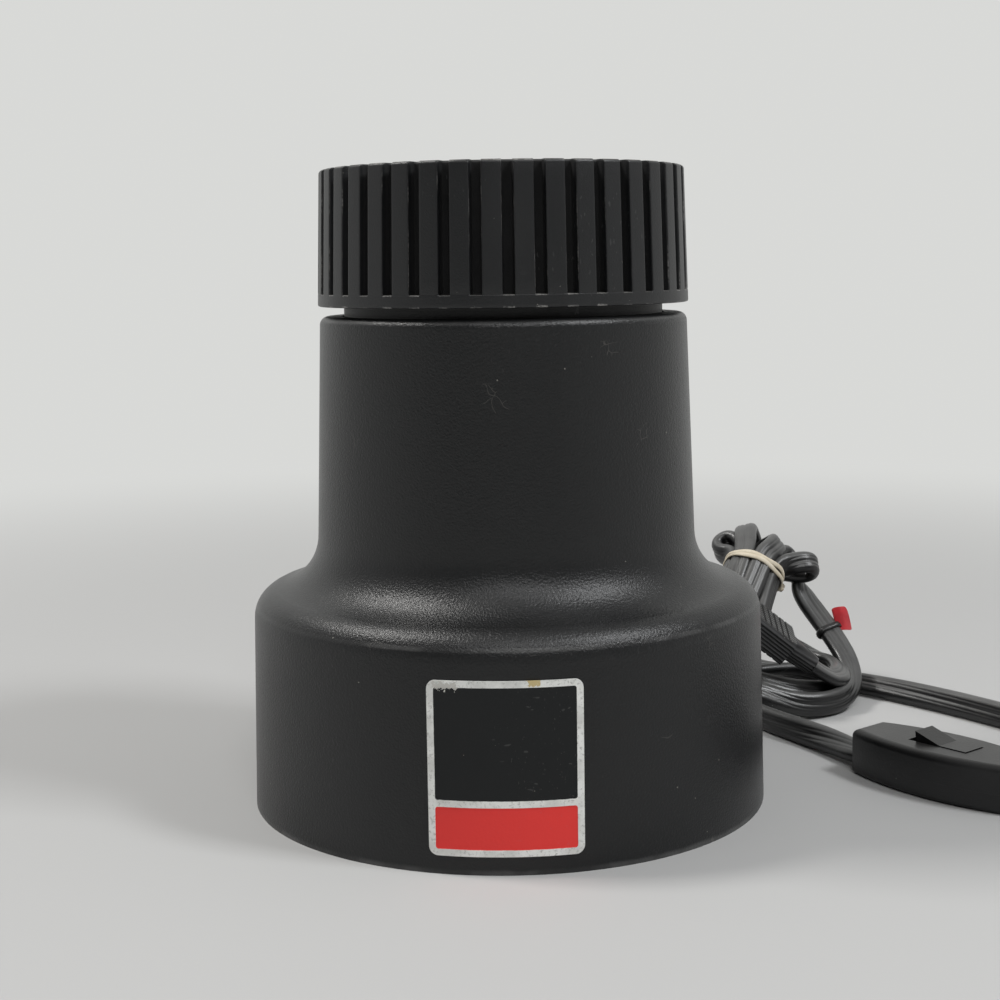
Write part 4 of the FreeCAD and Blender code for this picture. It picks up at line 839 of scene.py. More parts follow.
LOOPS = (
    ((0.0771, 0.0909, 0.0191), (0.85, -0.5, 0.0)),
    ((0.0770, 0.0830, 0.0150), (0.7, -0.4, 0.6)),
    ((0.0830, 0.0795, 0.0128), (0.1, -0.5, 0.85)),
    ((0.0920, 0.0795, 0.0100), (0.0, -0.6, 0.8)),
    ((0.1010, 0.0800, 0.0078), (0.1, -0.8, 0.6)),
    ((0.1100, 0.0825, 0.0066), (0.4, -0.8, 0.3)),
    ((0.1150, 0.0875, 0.0060), (0.8, -0.5, 0.1)),
    ((0.1160, 0.0935, 0.0066), (1.0, 0.1, 0.2)),
    ((0.1130, 0.0985, 0.0084), (0.5, 0.7, 0.5)),
    ((0.1040, 0.0995, 0.0108), (0.1, 0.5, 0.85)),
    ((0.0950, 0.0985, 0.0116), (0.0, 0.1, 1.0)),
    ((0.0860, 0.0965, 0.0114), (0.0, 0.0, 1.0)),
    ((0.0780, 0.0950, 0.0109), (0.0, 0.0, 1.0)),
    ((0.0700, 0.0935, 0.0107), (-0.1, 0.1, 1.0)),
    ((0.0610, 0.0900, 0.0068), (-0.4, 0.6, 0.6)),
    ((0.0535, 0.0855, 0.0047), (-0.8, 0.6, 0.1)),
    ((0.0510, 0.0790, 0.0047), (-1.0, 0.0, 0.0)),
    ((0.0560, 0.0730, 0.0047), (-0.6, -0.8, 0.1)),
    ((0.0650, 0.0700, 0.0076), (-0.3, -0.8, 0.5)),
    ((0.0750, 0.0688, 0.0114), (0.0, -0.4, 0.9)),
    ((0.0840, 0.0686, 0.0112), (0.1, -0.5, 0.85)),
    ((0.0930, 0.0692, 0.0076), (0.2, -0.8, 0.6)),
    ((0.1010, 0.0705, 0.0052), (0.1, -0.95, 0.3)),
    ((0.1100, 0.0735, 0.0047), (0.3, -0.95, 0.1)),
    ((0.1175, 0.0800, 0.0052), (0.6, -0.8, 0.0)),
    ((0.1222, 0.0890, 0.0078), (0.5, -0.75, 0.4)),
    ((0.1225, 0.0980, 0.0135), (0.3, -0.85, 0.42)),
    ((0.1190, 0.1060, 0.0205), (0.2, -0.87, 0.45)),
    ((0.1142, 0.1130, 0.0272), (0.15, -0.85, 0.5)),
    ((0.1096, 0.1195, 0.0338), (0.3, -0.8, 0.5)),
    ((0.1080, 0.1264, 0.0404), (0.8, -0.1, -0.3)),
    ((0.1056, 0.1318, 0.0470), (0.4, 0.7, 0.3)),
    ((0.1014, 0.1290, 0.0490), (-0.4, 0.4, 0.8)),
)
PLUG_RUN = (
    ((0.0912, 0.1077, 0.0256), (-0.65, 0.0, 0.75)),
    ((0.0980, 0.1075, 0.0206), (-0.50, -0.2, 0.85)),
    ((0.1060, 0.1070, 0.0164), (-0.20, -0.3, 0.90)),
    ((0.1135, 0.1040, 0.0136), (0.30, 0.3, 0.90)),
    ((0.1175, 0.0980, 0.0133), (0.50, 0.2, 0.85)),
    ((0.1178, 0.0890, 0.0127), (0.60, 0.0, 0.80)),
    ((0.1158, 0.0820, 0.0122), (0.60, -0.1, 0.78)),
    ((0.1115, 0.0791, 0.0127), (0.62, -0.14, 0.775)),
    ((0.1060, 0.0790, 0.0170), (0.616, -0.139, 0.775)),
)
# Inside the head, from the gland up to the socket, and the height at which its two pieces meet.
INNER_ROUTE = (
    (0.0000, 0.0667, 0.0160), (0.0000, 0.0617, 0.0168), (0.0003, 0.0590, 0.0230), (0.0000, 0.0598, 0.0360),
    (0.0003, 0.0596, 0.0556), (0.0000, 0.0498, 0.0706), (0.0003, 0.0412, 0.0886), (0.0000, 0.0404, 0.1146),
    (0.0003, 0.0396, 0.1366), (0.0000, 0.0362, 0.1530), (0.0003, 0.0292, 0.1620), (0.0000, 0.0168, 0.1630),
)
INNER_MEETING = 0.089
HANK_CENTRE = np.array((0.0906, 0.1170, 0.0433))
HANK_AXIS = np.array((0.40, 0.66, 0.635))
HANK_AXIS = HANK_AXIS / np.linalg.norm(HANK_AXIS)
HANK_FIRST, HANK_SECOND = across(HANK_AXIS, np.cross(HANK_AXIS, (0.0, 0.0, 1.0)))
# Each pass through the tie: its angle round the hank, how far out it lies, and the fold after it. A fold is
# how far along and out its middle lies, at what angle, half its width, and the way that its first side faces
# where it leans over.
HANK_PASSES = (
    (155, 0.0084, (0.0080, 0.0000, 0, 0.0080, None)),
    (309, 0.0084, (-0.0310, 0.0020, 0, 0.0066, None)),
    (103, 0.0084, (0.0120, 0.0055, 168, 0.0078, None)),
    (258, 0.0084, (-0.0255, 0.0075, 232, 0.0046, None)),
    (206, 0.0084, (0.0095, 0.0125, 188, 0.0042, (-0.4, -0.66, -0.635))),
    (188, 0.0023, (-0.0265, 0.0065, -10, 0.0046, None)),
    (1, 0.0084, (0.0088, 0.0158, 20, 0.0044, (0.1, -0.75, 0.65))),
    (8, 0.0023, None),
)


def hank_place(along, out, angle):
    """A point of the hank, and the direction outward from its axis there."""
    turn = math.radians(angle)
    outward = HANK_FIRST * math.cos(turn) + HANK_SECOND * math.sin(turn)
    return HANK_CENTRE + HANK_AXIS * along + outward * out, outward


def hank_points():
    """The control points of the passes through the tie and of the folds at both ends."""
    half_pass = 0.0035
    # The lead comes in under the first pass.
    points = [hank_place(-0.0280, 0.0110, 150), hank_place(-0.0140, 0.0096, 154)]
    for k, (angle_in, out, fold) in enumerate(HANK_PASSES):
        side = 1.0 if k % 2 == 0 else -1.0
        points.append(hank_place(-half_pass * side, out, angle_in))
        points.append(hank_place(half_pass * side, out, angle_in))
        if fold is None:
            break
        along, lateral, tip_angle, half, leans = fold
        middle = hank_place(along, lateral, tip_angle)[0]
        here, here_out = points[-1]
        next_angle, next_out = HANK_PASSES[k + 1][:2]
        there, there_out = hank_place(half_pass * side, next_out, next_angle)
        ahead = middle - 0.5 * (here + there)
        ahead = ahead / np.linalg.norm(ahead)
        beside = across(ahead, here - there if leans is None else leans)[0]
        for pass_out, way in ((here_out, 1.0), (there_out, -1.0)):
            side_on = middle + beside * half * way
            bend = (
                (side_on, beside * way + pass_out * 0.2),
                (side_on + ahead * half * 0.98 - beside * way * half * 0.42, beside * way * 0.5 + ahead),
            )
            points += bend if way > 0 else bend[::-1]
    # It leaves along the hank's axis, on to the loops.
    points.append(hank_place(-0.0180, 0.0016, -30))
    points.append(hank_place(-0.0300, 0.0018, -10))
    return points


def faces_together(table):
    """The control points, and the ways that the flat face turns, each on the same side as the one before."""
    places, turned = [], []
    for place, face in table:
        face = np.array(face, float) / np.linalg.norm(face)
        if turned and face @ turned[-1] < 0:
            face = -face
        places.append(np.array(place, float))
        turned.append(face)
    return places, turned


def lead_section(lead):
    """The outline of the flat lead: two cores with a groove between them, and fine ribs on both faces."""
    half_thick = lead.thickness / 2
    half_wide = lead.width / 2 - half_thick
    outline, edge = [], []

    def depth(x):
        ribs = lead.rib_depth * (0.5 - 0.5 * math.cos(2 * math.pi * x / lead.rib_pitch))
        groove = lead.core_groove * max(0.0, 1.0 - abs(x) / (0.75 * lead.rib_pitch))
        return max(ribs, groove)

    steps = int(round(2 * half_wide / (lead.rib_pitch / 4)))
    for side in (1.0, -1.0):
        for i in range(steps + 1):
            x = side * (half_wide - 2 * half_wide * i / steps)
            outline.append((x, side * (half_thick - depth(x))))
            edge.append(1.0 - depth(x) / lead.rib_depth)
        for i in range(1, 12):
            turn = side * math.pi / 2 + math.pi * i / 12
            crest = 0.5 + 0.5 * math.cos(2 * math.pi * i / 3)
            reach = half_thick - lead.rib_depth * 0.8 * (1.0 - crest) * (0.4 if 3 < i < 9 else 1.0)
            outline.append((-side * half_wide + reach * math.cos(turn), reach * math.sin(turn)))
            edge.append(crest)
    return outline, [max(0.0, min(1.0, e)) * 0.55 for e in edge]


# ---------------------------------------------------------------- forms of single pieces


def cap_columns(cap, foot_radius):
    """Each column of points up the cap's skirt: its angle, its depth in a groove and its wear."""
    half, deep = cap.groove_width / 2, cap.groove_depth
    # From a groove's middle over its rim to the rib: way from the middle, depth and wear.
    side = (
        (0.0, deep, 0.0), (half * 0.47, deep, 0.0), (half * 0.74, deep * 0.995, 0.0),
        (half * 0.86, deep * 0.965, 0.0), (half * 0.925, deep * 0.88, 0.0), (half * 0.975, deep * 0.20, 0.25),
        (half * 1.005, deep * 0.075, 1.0), (half * 1.06, deep * 0.018, 1.0), (half * 1.16, 0.0, 0.35),
        (half * 1.40, 0.0, 0.0),
    )
    other_side = [(-way, cut, worn) for way, cut, worn in side[:0:-1]]
    middle_of_rib = (math.pi * foot_radius / cap.grooves, 0.0, 0.0)
    columns = []
    for k in range(cap.grooves):
        centre = cap.first + 2 * math.pi * k / cap.grooves
        for way, cut, worn in (*other_side, *side, middle_of_rib):
            columns.append((centre + way / foot_radius, cut, worn))
    return columns


def cap_rows(cap, low, high):
    """Each row of points round the cap's skirt, upward: height, inset, share of the grooves' depth, wear."""
    band, r = low + cap.band, cap.top_round
    rows = [
        (low, 0.0012, 0.0, 0.0), (low, 0.0005, 0.0, 0.4), (low + 0.00015, 0.00015, 0.0, 1.0),
        (low + 0.0005, 0.0, 0.0, 0.6), (low + 0.0011, 0.0, 0.0, 0.0), (band - 0.0006, 0.0, 0.0, 0.0),
        (band - 0.00025, 0.0, 0.0, 0.5), (band - 0.00008, 0.00004, 0.05, 1.0),
        (band + 0.00005, 0.00008, 0.25, 0.8), (band + 0.00022, 0.00006, 0.94, 0.2),
        (band + 0.0005, 0.0, 1.0, 0.0),
    ]
    rows += [(band + (high - r - band) * i / 9, 0.0, 1.0, 0.0) for i in range(1, 9)]
    rows += [(high - r + r * math.sin(turn), r * (1 - math.cos(turn)), 1.0, worn)
             for turn, worn in ((0.0, 0.1), (0.35, 0.4), (0.8, 1.0), (1.2, 0.8), (math.pi / 2, 0.3))]
    return rows


def rim_wear(in_groove, share):
    """How much of a row's wear a column takes: the foot of the grooves wears most at their rims."""
    if share > 0.5:
        return 0.25 if in_groove else 0.8
    return 1.0 if in_groove else 0.45


def cap_form(cap):
    """The cap's vertices and faces, and how worn and how sunk each vertex is; the finish paints shade in the
    grooves by how sunk it is.
    """
    low, high = CAP_LOW[2], CAP_HIGH[2]
    draft, ceiling_thickness, dish_depth, boss_circle = 0.0013, 0.004, 0.001, 0.033
    foot_radius = CAP_HIGH[0]
    top_radius = foot_radius - draft
    deep = cap.groove_depth
    columns = cap_columns(cap, foot_radius)
    vertices, wear, groove_shade = [], [], []

    def ring(height, radius_of, wear_of, grooved=False):
        for turn, cut, worn in columns:
            radius = radius_of(cut)
            sunk = grooved and cut > 0.5 * deep
            # How deep the vertex lies in a groove, which the finish turns into painted shade.
            groove_shade.append(min(1.0, max(0.0, (foot_radius - radius) / deep - 0.55) * 3.0) if sunk else 0.0)
            vertices.append((radius * math.cos(turn), radius * math.sin(turn), height))
            wear.append(wear_of(worn, cut))

    def plain_ring(radius, height, worn=0.0):
        ring(height, lambda cut: radius, lambda column_worn, cut: worn)

    def skirt_ring(height, inset, share, row_worn):
        outer = foot_radius + (top_radius - foot_radius) * (height - low) / (high - low)
        ring(height, lambda cut: outer - inset - cut * share,
             lambda worn, cut: max(0.55 * worn * (share > 0.5), row_worn * rim_wear(cut > 0.5 * deep, share)),
             grooved=height < high - 0.3 * cap.top_round)

    inner_foot, inner_top, ceiling = foot_radius - cap.wall, top_radius - cap.wall, high - ceiling_thickness
    for radius, height in (
        (0.0005, ceiling), (0.015, ceiling), (0.032, ceiling), (inner_top - 0.001, ceiling),
        (inner_top - 0.0003, ceiling - 0.0003), (inner_top, ceiling - 0.001),
        (inner_foot, low + 0.0005), (inner_foot + 0.0004, low),
    ):
        plain_ring(radius, height)
    for row in cap_rows(cap, low, high):
        skirt_ring(*row)
    for radius, drop, worn in (
        (0.0480, 0.0, 0.0), (0.0468, 0.0, 0.2), (0.0465, 0.0001, 0.9), (0.0461, 0.0007, 0.2),
        (0.0456, dish_depth, 0.0), (0.0453, dish_depth, 0.0), (0.030, dish_depth, 0.0),
        (0.015, dish_depth, 0.0), (0.0005, dish_depth, 0.0),
    ):
        plain_ring(radius, high - drop, worn)
    faces = ring_faces(len(vertices) // len(columns), len(columns), cap_ends=True)
    boss = [(0.0016, -0.0098), (0.0036, -0.0098), (0.0040, -0.0094), (0.0042, 0.0006)]
    for turn in map(math.radians, (30, 150, 270)):
        place = (boss_circle * math.cos(turn), boss_circle * math.sin(turn), ceiling)
        join_form(vertices, faces, *revolve(boss, place, (0, 0, 1), segments=28))
    unmarked = [0.0] * (len(vertices) - len(wear))
    return vertices, faces, wear + unmarked, groove_shade + unmarked


def relief_profile(length):
    """The strain relief's profile: a taper with rings cut into it."""
    root_radius, taper, rings = 0.0062, 0.0018, 9
    groove = (
        (0.0, 0.0), (0.00025, 0.0004), (0.0005, 0.00085), (0.0011, 0.00085), (0.00135, 0.0004), (0.0016, 0.0))
    profile = [(0.0044, -0.0004), (root_radius, -0.0004)]
    for i in range(rings):
        here = length * (0.14 + 0.80 * i / rings)
        radius = root_radius - taper * here / length
        profile += [(radius - drop, here + along) for along, drop in groove]
    profile += [(0.0046, length - 0.0012), (0.0044, length - 0.0003), (0.0040, length), (0.0020, length)]
    return profile


def band_form(thick):
    """The rubber band's two twisted strands round the hank, and its knot."""
    radius, half_wide, strand_pitch, steps = 0.0110, 0.0009, 0.0016, 120
    vertices, faces = [], []
    section = oval(half_wide, 0.5 * thick, 12)
    for strand in range(2):
        line, guide = [], []
        for j in range(steps):
            turn = 2 * math.pi * j / steps
            out = HANK_FIRST * math.cos(turn) + HANK_SECOND * math.sin(turn)
            sway = 0.0005 * math.sin(2 * turn + strand) + 0.0003 * math.sin(5 * turn + 2 * strand)
            along = (strand - 0.5) * strand_pitch + sway
            lift = radius + 0.0002 * math.sin(3 * turn + strand)
            twist = 0.25 * math.sin(2 * turn)
            line.append(HANK_CENTRE + HANK_AXIS * along + out * lift)
            guide.append(out * math.cos(twist) + HANK_AXIS * math.sin(twist))
        join_form(vertices, faces, *sweep(np.array(line), np.array(guide), section, closed=True))
    place, outward = hank_place(0.0002, 0.0118, 40)
    knot = [(0.0001, -0.0016), (0.0009, -0.0014), (0.0013, -0.0006), (0.0011, 0.0002), (0.0013, 0.0009),
            (0.0008, 0.0015), (0.0001, 0.0016)]
    join_form(vertices, faces, *revolve(knot, place, HANK_AXIS, segments=18, hint=outward))
    return vertices, faces


def tag_form():
    """The tag: a small bent leaf between four corners, with rounded ends."""
    near_side = np.array([(0.1186, 0.1120, 0.0305), (0.1205, 0.1085, 0.0230)])
    far_side = np.array([(0.1238, 0.1105, 0.0314), (0.1268, 0.1120, 0.0222)])
    out, thickness, count = np.array((0.15, -0.93, 0.33)), 0.0010, 13
    front = []
    for u in np.linspace(0.0, 1.0, count):
        for v in np.linspace(0.0, 1.0, count):
            round_off = 1.0 - 0.10 * (abs(2 * u - 1) * abs(2 * v - 1)) ** 6
            a, b = 0.5 + (u - 0.5) * round_off, 0.5 + (v - 0.5) * round_off
            ends = near_side * (1 - a) + far_side * a
            crown = 0.0016 * (1 - abs(2 * a - 0.9) ** 1.5) + 0.0004 * math.sin(5 * b)
            front.append(ends[0] * (1 - b) + ends[1] * b + out * crown)
    back = [point - out * thickness for point in front]
    grid = [(i * count + j, i * count + j + 1, (i + 1) * count + j + 1, (i + 1) * count + j)
            for i in range(count - 1) for j in range(count - 1)]
    rim = ([i * count for i in range(count)] + [(count - 1) * count + j for j in range(1, count)]
           + [i * count + count - 1 for i in range(count - 2, -1, -1)] + list(range(count - 2, 0, -1)))
    total = count * count
    faces = grid + [tuple(total + i for i in face[::-1]) for face in grid]
    faces += [(a, b, total + b, total + a) for a, b in zip(rim, rim[1:] + rim[:1])]
    return front + back, faces


def tag_tie_form(line, guide, lead):
    """The tie that holds the tag: a ring round the flat lead beside the tag."""
    beside_tag = np.array((0.1172, 0.1087, 0.0228))
    at = int(np.argmin(np.linalg.norm(line - beside_tag, axis=1)))
    flat, wide = across(line[at + 1] - line[at - 1], guide[at])
    reach = 0.0026
    rim = []
    for turn in np.linspace(0, 2 * math.pi, 48, endpoint=False):
        x, y = math.cos(turn), math.sin(turn)
        straight = np.sign(x) * (lead.width - lead.thickness) / 2 * min(1.0, abs(x) * 3.0)
        rim.append(line[at] + wide * (x * reach + straight) + flat * y * reach)
    rim = np.array(rim)
    return sweep(rim, rim - line[at], oval(0.0011, 0.00045, 10), closed=True)


# ---------------------------------------------------------------- stage


def floor_form():
    """A wide floor that curves up into a wall behind, with a low rim on its other sides."""
    reach, rim, flat_to, bend, wall = 6.0, 0.6, 2.0, 1.2, 5.0
    profile = [(-reach, rim), (-reach, 0.0), (flat_to, 0.0)]
    turns = np.linspace(0.1, math.pi / 2, 14)
    profile += [(flat_to + bend * math.sin(turn), bend * (1 - math.cos(turn))) for turn in turns]
    profile += [(flat_to + bend, wall)]
    sides = ((-reach, rim), (-reach, 0.0), (reach, 0.0), (reach, rim))
    vertices = [(x, y, max(z, lift)) for y, z in profile for x, lift in sides]
    faces = [(4 * i + j, 4 * i + j + 1, 4 * i + j + 5, 4 * i + j + 4)
             for i in range(len(profile) - 1) for j in range(len(sides) - 1)]
    return vertices, faces


def add_light(name, place, watts, width, tint):
    """A square soft light that looks at the head's drum."""
    light = bpy.data.lights.new(name, "AREA")
    light.shape = "SQUARE"
    light.size = width
    light.energy = watts
    light.color = tint
    holder = bpy.data.objects.new(name, light)
    holder.location = place
    holder.rotation_euler = (Vector((0, 0, 0.07)) - Vector(place)).to_track_quat("-Z", "Y").to_euler()
    bpy.context.scene.collection.objects.link(holder)


def room_light(settings):
    """A world of soft room light, dim in front of the head and even elsewhere."""
    world = bpy.data.worlds.new("Room")
    world.use_nodes = True
    tree = world.node_tree
    back = tree.nodes["Background"]
    back.inputs["Color"].default_value = (1.0, 1.0, 1.0, 1.0)
    backward = split(tree, tree.nodes.new("ShaderNodeTexCoord").outputs["Generated"])[1]
    between = {"Value": backward, "From Min": -0.85, "From Max": -0.25,
               "To Min": settings.sky_front, "To Max": settings.sky}
    room = add_node(tree, "ShaderNodeMapRange", between, interpolation_type="SMOOTHSTEP").outputs[0]
    tree.links.new(room, back.inputs["Strength"])
    return world


def add_camera(settings):
    """The camera at its place, looking down, left and leaning by the angles that are set."""
    camera = bpy.data.cameras.new("camera")
    camera.sensor_width = 36.0
    camera.lens = 1.7 * camera.sensor_width
    camera.clip_start = 0.01
    holder = bpy.data.objects.new("camera", camera)
    pitch, yaw, roll = settings.camera_pitch, settings.camera_yaw, settings.camera_roll
    ahead = Vector((-math.sin(yaw), math.cos(yaw), 0)) * math.cos(pitch) - Vector((0, 0, math.sin(pitch)))
    level = Vector((math.cos(yaw), math.sin(yaw), 0))
    upright = level.cross(ahead)
    up = upright * math.cos(roll) + level * math.sin(roll)
    right = level * math.cos(roll) - upright * math.sin(roll)
    turn = Matrix((right, up, -ahead)).transposed().to_4x4()
    holder.matrix_world = Matrix.Translation(Vector(settings.camera_place)) @ turn
    bpy.context.scene.collection.objects.link(holder)
    return holder


# ---------------------------------------------------------------- operators


class LAMPHOUSE_OT_shell(bpy.types.Operator):
    """Enamels the housing"""
    bl_idname = "lamphouse.shell"
    bl_label = "Housing shell"

    def execute(self, context):
        look = context.scene.lamphouse.finish
        dress_nodes(enamel_finish(look), "lamphouse_shell")
        return {"FINISHED"}


class LAMPHOUSE_OT_cap(bpy.types.Operator):
    """Builds the ribbed vent cap with its worn rib edges"""
    bl_idname = "lamphouse.cap"
    bl_label = "Vent cap"

    def execute(self, context):
        settings = context.scene.lamphouse
        vertices, faces, wear, groove_shade = cap_form(settings.cap)
        # The second mark is how sunk each vertex is, which sets the painted shade in the grooves.
        piece = add_object("ribbed_cap", vertices, faces, 42.0, {"edge": wear, "groove_shade": groove_shade})
        dress(piece, cap_finish(settings.finish))
        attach(piece, "lamp_carrier")
        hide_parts("vent_cap")
        return {"FINISHED"}


class LAMPHOUSE_OT_neck(bpy.types.Operator):
    """Finishes the collar, its grip ring, the keeper ring, the lens retainer and the base ring"""
    bl_idname = "lamphouse.neck"
    bl_label = "Collar and rings"

    def execute(self, context):
        dress_nodes(collar_finish(), "collar", "base_ring")
        dress_nodes(metal_finish("Spring steel", (0.40, 0.40, 0.42), 0.30, 0.0003, (0.20, 0.18, 0.16)),
                    "grip_ring", "keeper_ring", "lens_retainer")
        return {"FINISHED"}


class LAMPHOUSE_OT_plate(bpy.types.Operator):
    """Prints the two fields of the bare name plate"""
    bl_idname = "lamphouse.plate"
    bl_label = "Name plate"

    def execute(self, context):
        dress_nodes(plate_finish(context.scene.lamphouse.finish), "nameplate")
        return {"FINISHED"}


class LAMPHOUSE_OT_lamp(bpy.types.Operator):
    """Finishes the lamp, the socket and its bridge, and the screws, rivets and contacts"""
    bl_idname = "lamphouse.lamp"
    bl_label = "Lamp, socket and fasteners"

    def execute(self, context):
        dress_nodes(opal_finish(), "lamp_bulb")
        dress_nodes(metal_finish("Lamp base metal", (0.74, 0.72, 0.68), 0.26, 0.0011, (0.45, 0.42, 0.36)),
                    "lamp_base", "lamp_tip")
        dress_nodes(lamp_base_glass_finish(), "lamp_insulator")
        dress_nodes(porcelain_finish(), "socket_body")
        dress_nodes(metal_finish("Contact brass", (0.72, 0.52, 0.24), 0.26, 0.0008, (0.30, 0.20, 0.10)),
                    "socket_shell", "socket_contact", "terminal_screws", "switch_contacts", "plug_blades")
        dress_nodes(metal_finish("Plated steel", (0.58, 0.56, 0.50), 0.32, 0.0005, (0.34, 0.29, 0.20)),
                    "socket_bridge", "cap_screws", "base_screws", "cell_screws", "switch_pin",
                    "switch_screws")
        dress_nodes(metal_finish("Rivet aluminium", (0.66, 0.66, 0.66), 0.36, 0.0005, (0.40, 0.40, 0.39)),
                    "collar_rivets")
        return {"FINISHED"}


class LAMPHOUSE_OT_condensers(bpy.types.Operator):
    """Finishes the condenser lenses, their spacer and their cell"""
    bl_idname = "lamphouse.condensers"
    bl_label = "Condensers"

    def execute(self, context):
        dress_nodes(glass_finish(), "lower_condenser", "upper_condenser")
        dress_nodes(metal_finish("Turned aluminium", (0.50, 0.50, 0.51), 0.34, 0.00035, (0.32, 0.32, 0.31)),
                    "condenser_cell", "lens_spacer")
        return {"FINISHED"}


class LAMPHOUSE_OT_gland(bpy.types.Operator):
    """Builds the ringed strain relief and finishes the gland"""
    bl_idname = "lamphouse.gland"
    bl_label = "Cable gland"

    def execute(self, context):
        look = context.scene.lamphouse.finish
        dress_nodes(moulding_finish(look), "gland_body", "gland_nut")
        start = (0.0, RELIEF_LOW[1], 0.5 * (RELIEF_LOW[2] + RELIEF_HIGH[2]))
        profile = relief_profile(RELIEF_HIGH[1] - RELIEF_LOW[1])
        piece = add_object("ringed_relief", *revolve(profile, start, (0, 1, 0), segments=40), 40.0)
        dress(piece, vinyl_finish(look))
        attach(piece, "housing")
        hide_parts("strain_relief")
        return {"FINISHED"}


class LAMPHOUSE_OT_inner_lead(bpy.types.Operator):
    """Builds the lead from the gland up to the lamp socket, in two pieces that meet at the cell's top"""
    bl_idname = "lamphouse.inner_lead"
    bl_label = "Inner lead"

    def execute(self, context):
        settings = context.scene.lamphouse
        line = spline_points("inner_route", INNER_ROUTE, 12)
        r = settings.lead.inner_radius
        turns = np.linspace(0, 2 * math.pi, 20, endpoint=False)
        section = [(r * math.cos(a) * (1 - 0.05 * math.cos(2 * a)), r * math.sin(a)) for a in turns]
        meeting = 1 + int(np.argmax(line[:, 2] > INNER_MEETING))
        for name, part, below, above, low, high in (
            ("cell_lead", line[:meeting], "housing", "mouth_ring", 0.058, 0.088),
            ("socket_lead", line[meeting - 1:], "mouth_ring", "lamp_carrier", 0.0905, 0.146),
        ):
            piece = add_object(name, *sweep(part, np.tile((1.0, 0.0, 0.0), (len(part), 1)), section), 50.0)
            dress(piece, vinyl_finish(settings.finish))
            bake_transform(piece)
        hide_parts("inner_lead")
        return {"FINISHED"}


class LAMPHOUSE_OT_tie(bpy.types.Operator):
    """Builds the rubber band round the hank and the red tag"""
    bl_idname = "lamphouse.tie"
    bl_label = "Tie and tag"

    def execute(self, context):
        settings = context.scene.lamphouse
        piece = add_object("tie_band", *band_form(settings.lead.band_thickness), 60.0)
        dress(piece, rubber_finish(settings.finish))
        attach(piece, "housing")
        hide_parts("rubber_band")
        tag = add_object("red_tag", *tag_form(), 50.0)
        dress(tag, tag_finish(settings.finish))
        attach(tag, "housing")
        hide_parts("lead_tag")
        return {"FINISHED"}


class LAMPHOUSE_OT_switch(bpy.types.Operator):
    """Finishes the in-line switch"""
    bl_idname = "lamphouse.switch"
    bl_label = "In-line switch"

    def execute(self, context):
        dress_nodes(moulding_finish(context.scene.lamphouse.finish),
                    "switch_case_bottom", "switch_case_top", "switch_rocker")
        return {"FINISHED"}


class LAMPHOUSE_OT_plug(bpy.types.Operator):
    """Finishes the mains plug"""
    bl_idname = "lamphouse.plug"
    bl_label = "Mains plug"

    def execute(self, context):
        dress_nodes(plug_finish(context.scene.lamphouse.finish), "plug_body")
        return {"FINISHED"}


class LAMPHOUSE_OT_lead(bpy.types.Operator):
    """Builds the flat mains lead: the switch's runs, the tied hank, the loops and the plug's run"""
    bl_idname = "lamphouse.lead"
    bl_label = "Mains lead"

    def execute(self, context):
        settings = context.scene.lamphouse
        lead = settings.lead
        plug_pass = (hank_place(0.0050, 0.0086, 52), hank_place(-0.0050, 0.0086, 53))
        route = (*RUN_TO_SWITCH, *RUN_BACK, *hank_points(), *LOOPS, *plug_pass, *PLUG_RUN)
        places, faced = faces_together(route)
        steps, guide_reach = 16, 0.002
        line = spline_points("lead_route", places, steps)
        beside = [place + face * guide_reach for place, face in zip(places, faced)]
        guide = spline_points("lead_guide", beside, steps) - line
        outline, marks = lead_section(lead)
        vertices, faces = sweep(line, guide, outline)
        piece = add_object("mains_lead", vertices, faces, 50.0, {"edge": marks * len(line)})
        dress(piece, vinyl_finish(settings.finish))
        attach(piece, "housing")
        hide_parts("lead_out", "lead_back", "outer_loop", "plug_lead", "hank")
        tie = add_object("tag_tie", *tag_tie_form(line, guide, lead), 60.0)
        dress(tie, moulding_finish(settings.finish))
        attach(tie, "housing")
        return {"FINISHED"}


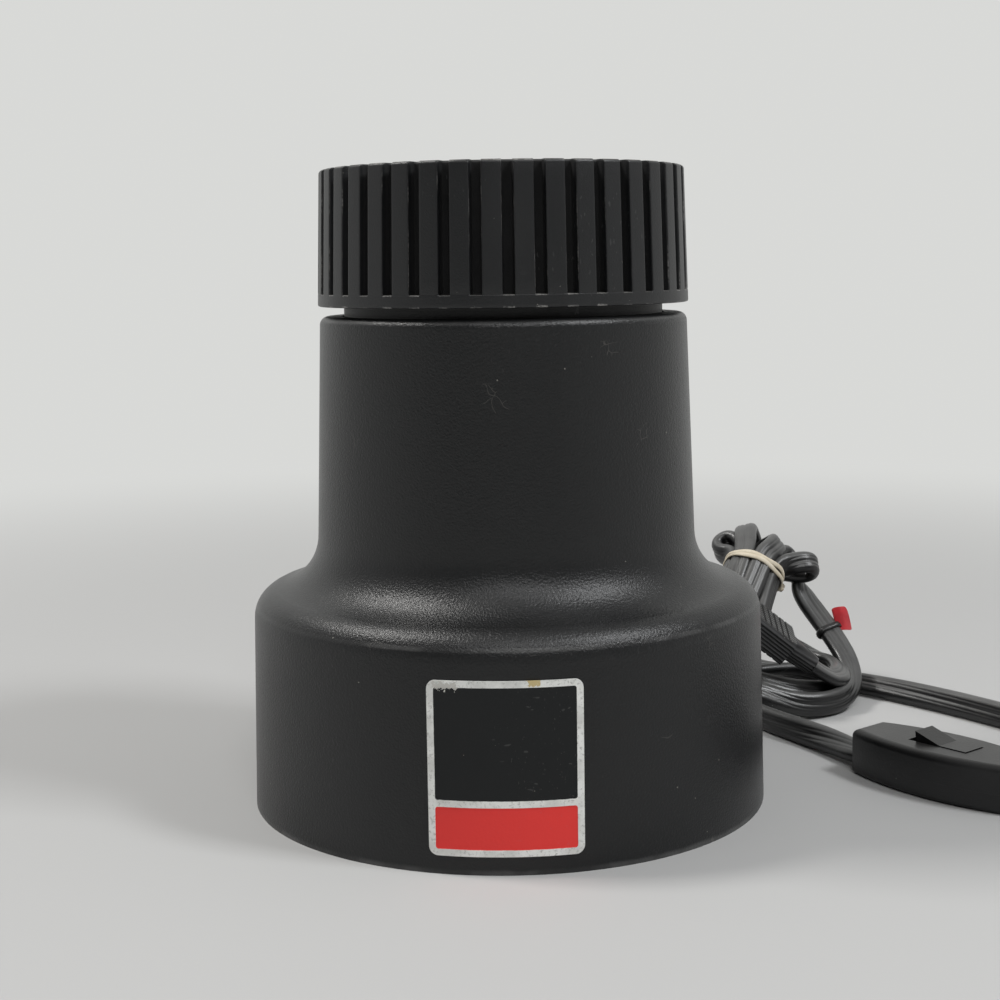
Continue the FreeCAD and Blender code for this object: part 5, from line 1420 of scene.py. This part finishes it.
class LAMPHOUSE_OT_stage(bpy.types.Operator):
    """Sets the plain floor, the soft lights and the camera"""
    bl_idname = "lamphouse.stage"
    bl_label = "Stage"

    def execute(self, context):
        scene = context.scene
        settings = scene.lamphouse.stage
        floor = add_object("floor", *floor_form(), 60.0)
        dress(floor, floor_finish(settings))
        for name, place, watts, width, tint in (
            ("key", (-0.74, 0.10, 1.24), settings.key_power, 0.28, (1.0, 0.985, 0.96)),
            ("fill", (0.83, -0.38, 1.12), settings.fill_power, 0.28, (0.97, 0.985, 1.0)),
            ("front", (0.10, -1.05, 1.15), settings.front_power, 0.5, (1.0, 1.0, 1.0)),
        ):
            add_light(name, place, watts, width, tint)
        scene.world = room_light(settings)
        scene.camera = add_camera(settings)
        scene.view_settings.view_transform = "Standard"
        return {"FINISHED"}


PIECES = (
    LAMPHOUSE_OT_stage, LAMPHOUSE_OT_gland, LAMPHOUSE_OT_tie, LAMPHOUSE_OT_switch, LAMPHOUSE_OT_plug,
    LAMPHOUSE_OT_lead, LAMPHOUSE_OT_shell, LAMPHOUSE_OT_cap, LAMPHOUSE_OT_neck, LAMPHOUSE_OT_plate,
    LAMPHOUSE_OT_lamp, LAMPHOUSE_OT_condensers, LAMPHOUSE_OT_inner_lead,
)


class LAMPHOUSE_PT_panel(bpy.types.Panel):
    """Lists the pieces of the head"""
    bl_label = "Lamphouse head"
    bl_idname = "LAMPHOUSE_PT_panel"
    bl_space_type = "VIEW_3D"
    bl_region_type = "UI"
    bl_category = "Lamphouse"

    def draw(self, context):
        for piece in PIECES:
            self.layout.operator(piece.bl_idname)
        settings = context.scene.lamphouse
        for group in (settings.cap, settings.lead, settings.finish, settings.stage):
            box = self.layout.box()
            for label in group.bl_rna.properties.keys():
                if label not in ("rna_type", "name"):
                    box.prop(group, label)


CLASSES = (
    CapSettings, LeadSettings, FinishSettings, StageSettings, HeadSettings, *PIECES, LAMPHOUSE_PT_panel,
)


def register():
    for item in CLASSES:
        bpy.utils.register_class(item)
    bpy.types.Scene.lamphouse = bpy.props.PointerProperty(type=HeadSettings)


def unregister():
    del bpy.types.Scene.lamphouse
    for item in reversed(CLASSES):
        bpy.utils.unregister_class(item)


def main():
    """Registers the add-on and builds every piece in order."""
    register()
    for piece in PIECES:
        family, name = piece.bl_idname.split(".")
        getattr(getattr(bpy.ops, family), name)()


if __name__ == "__main__":
    main()
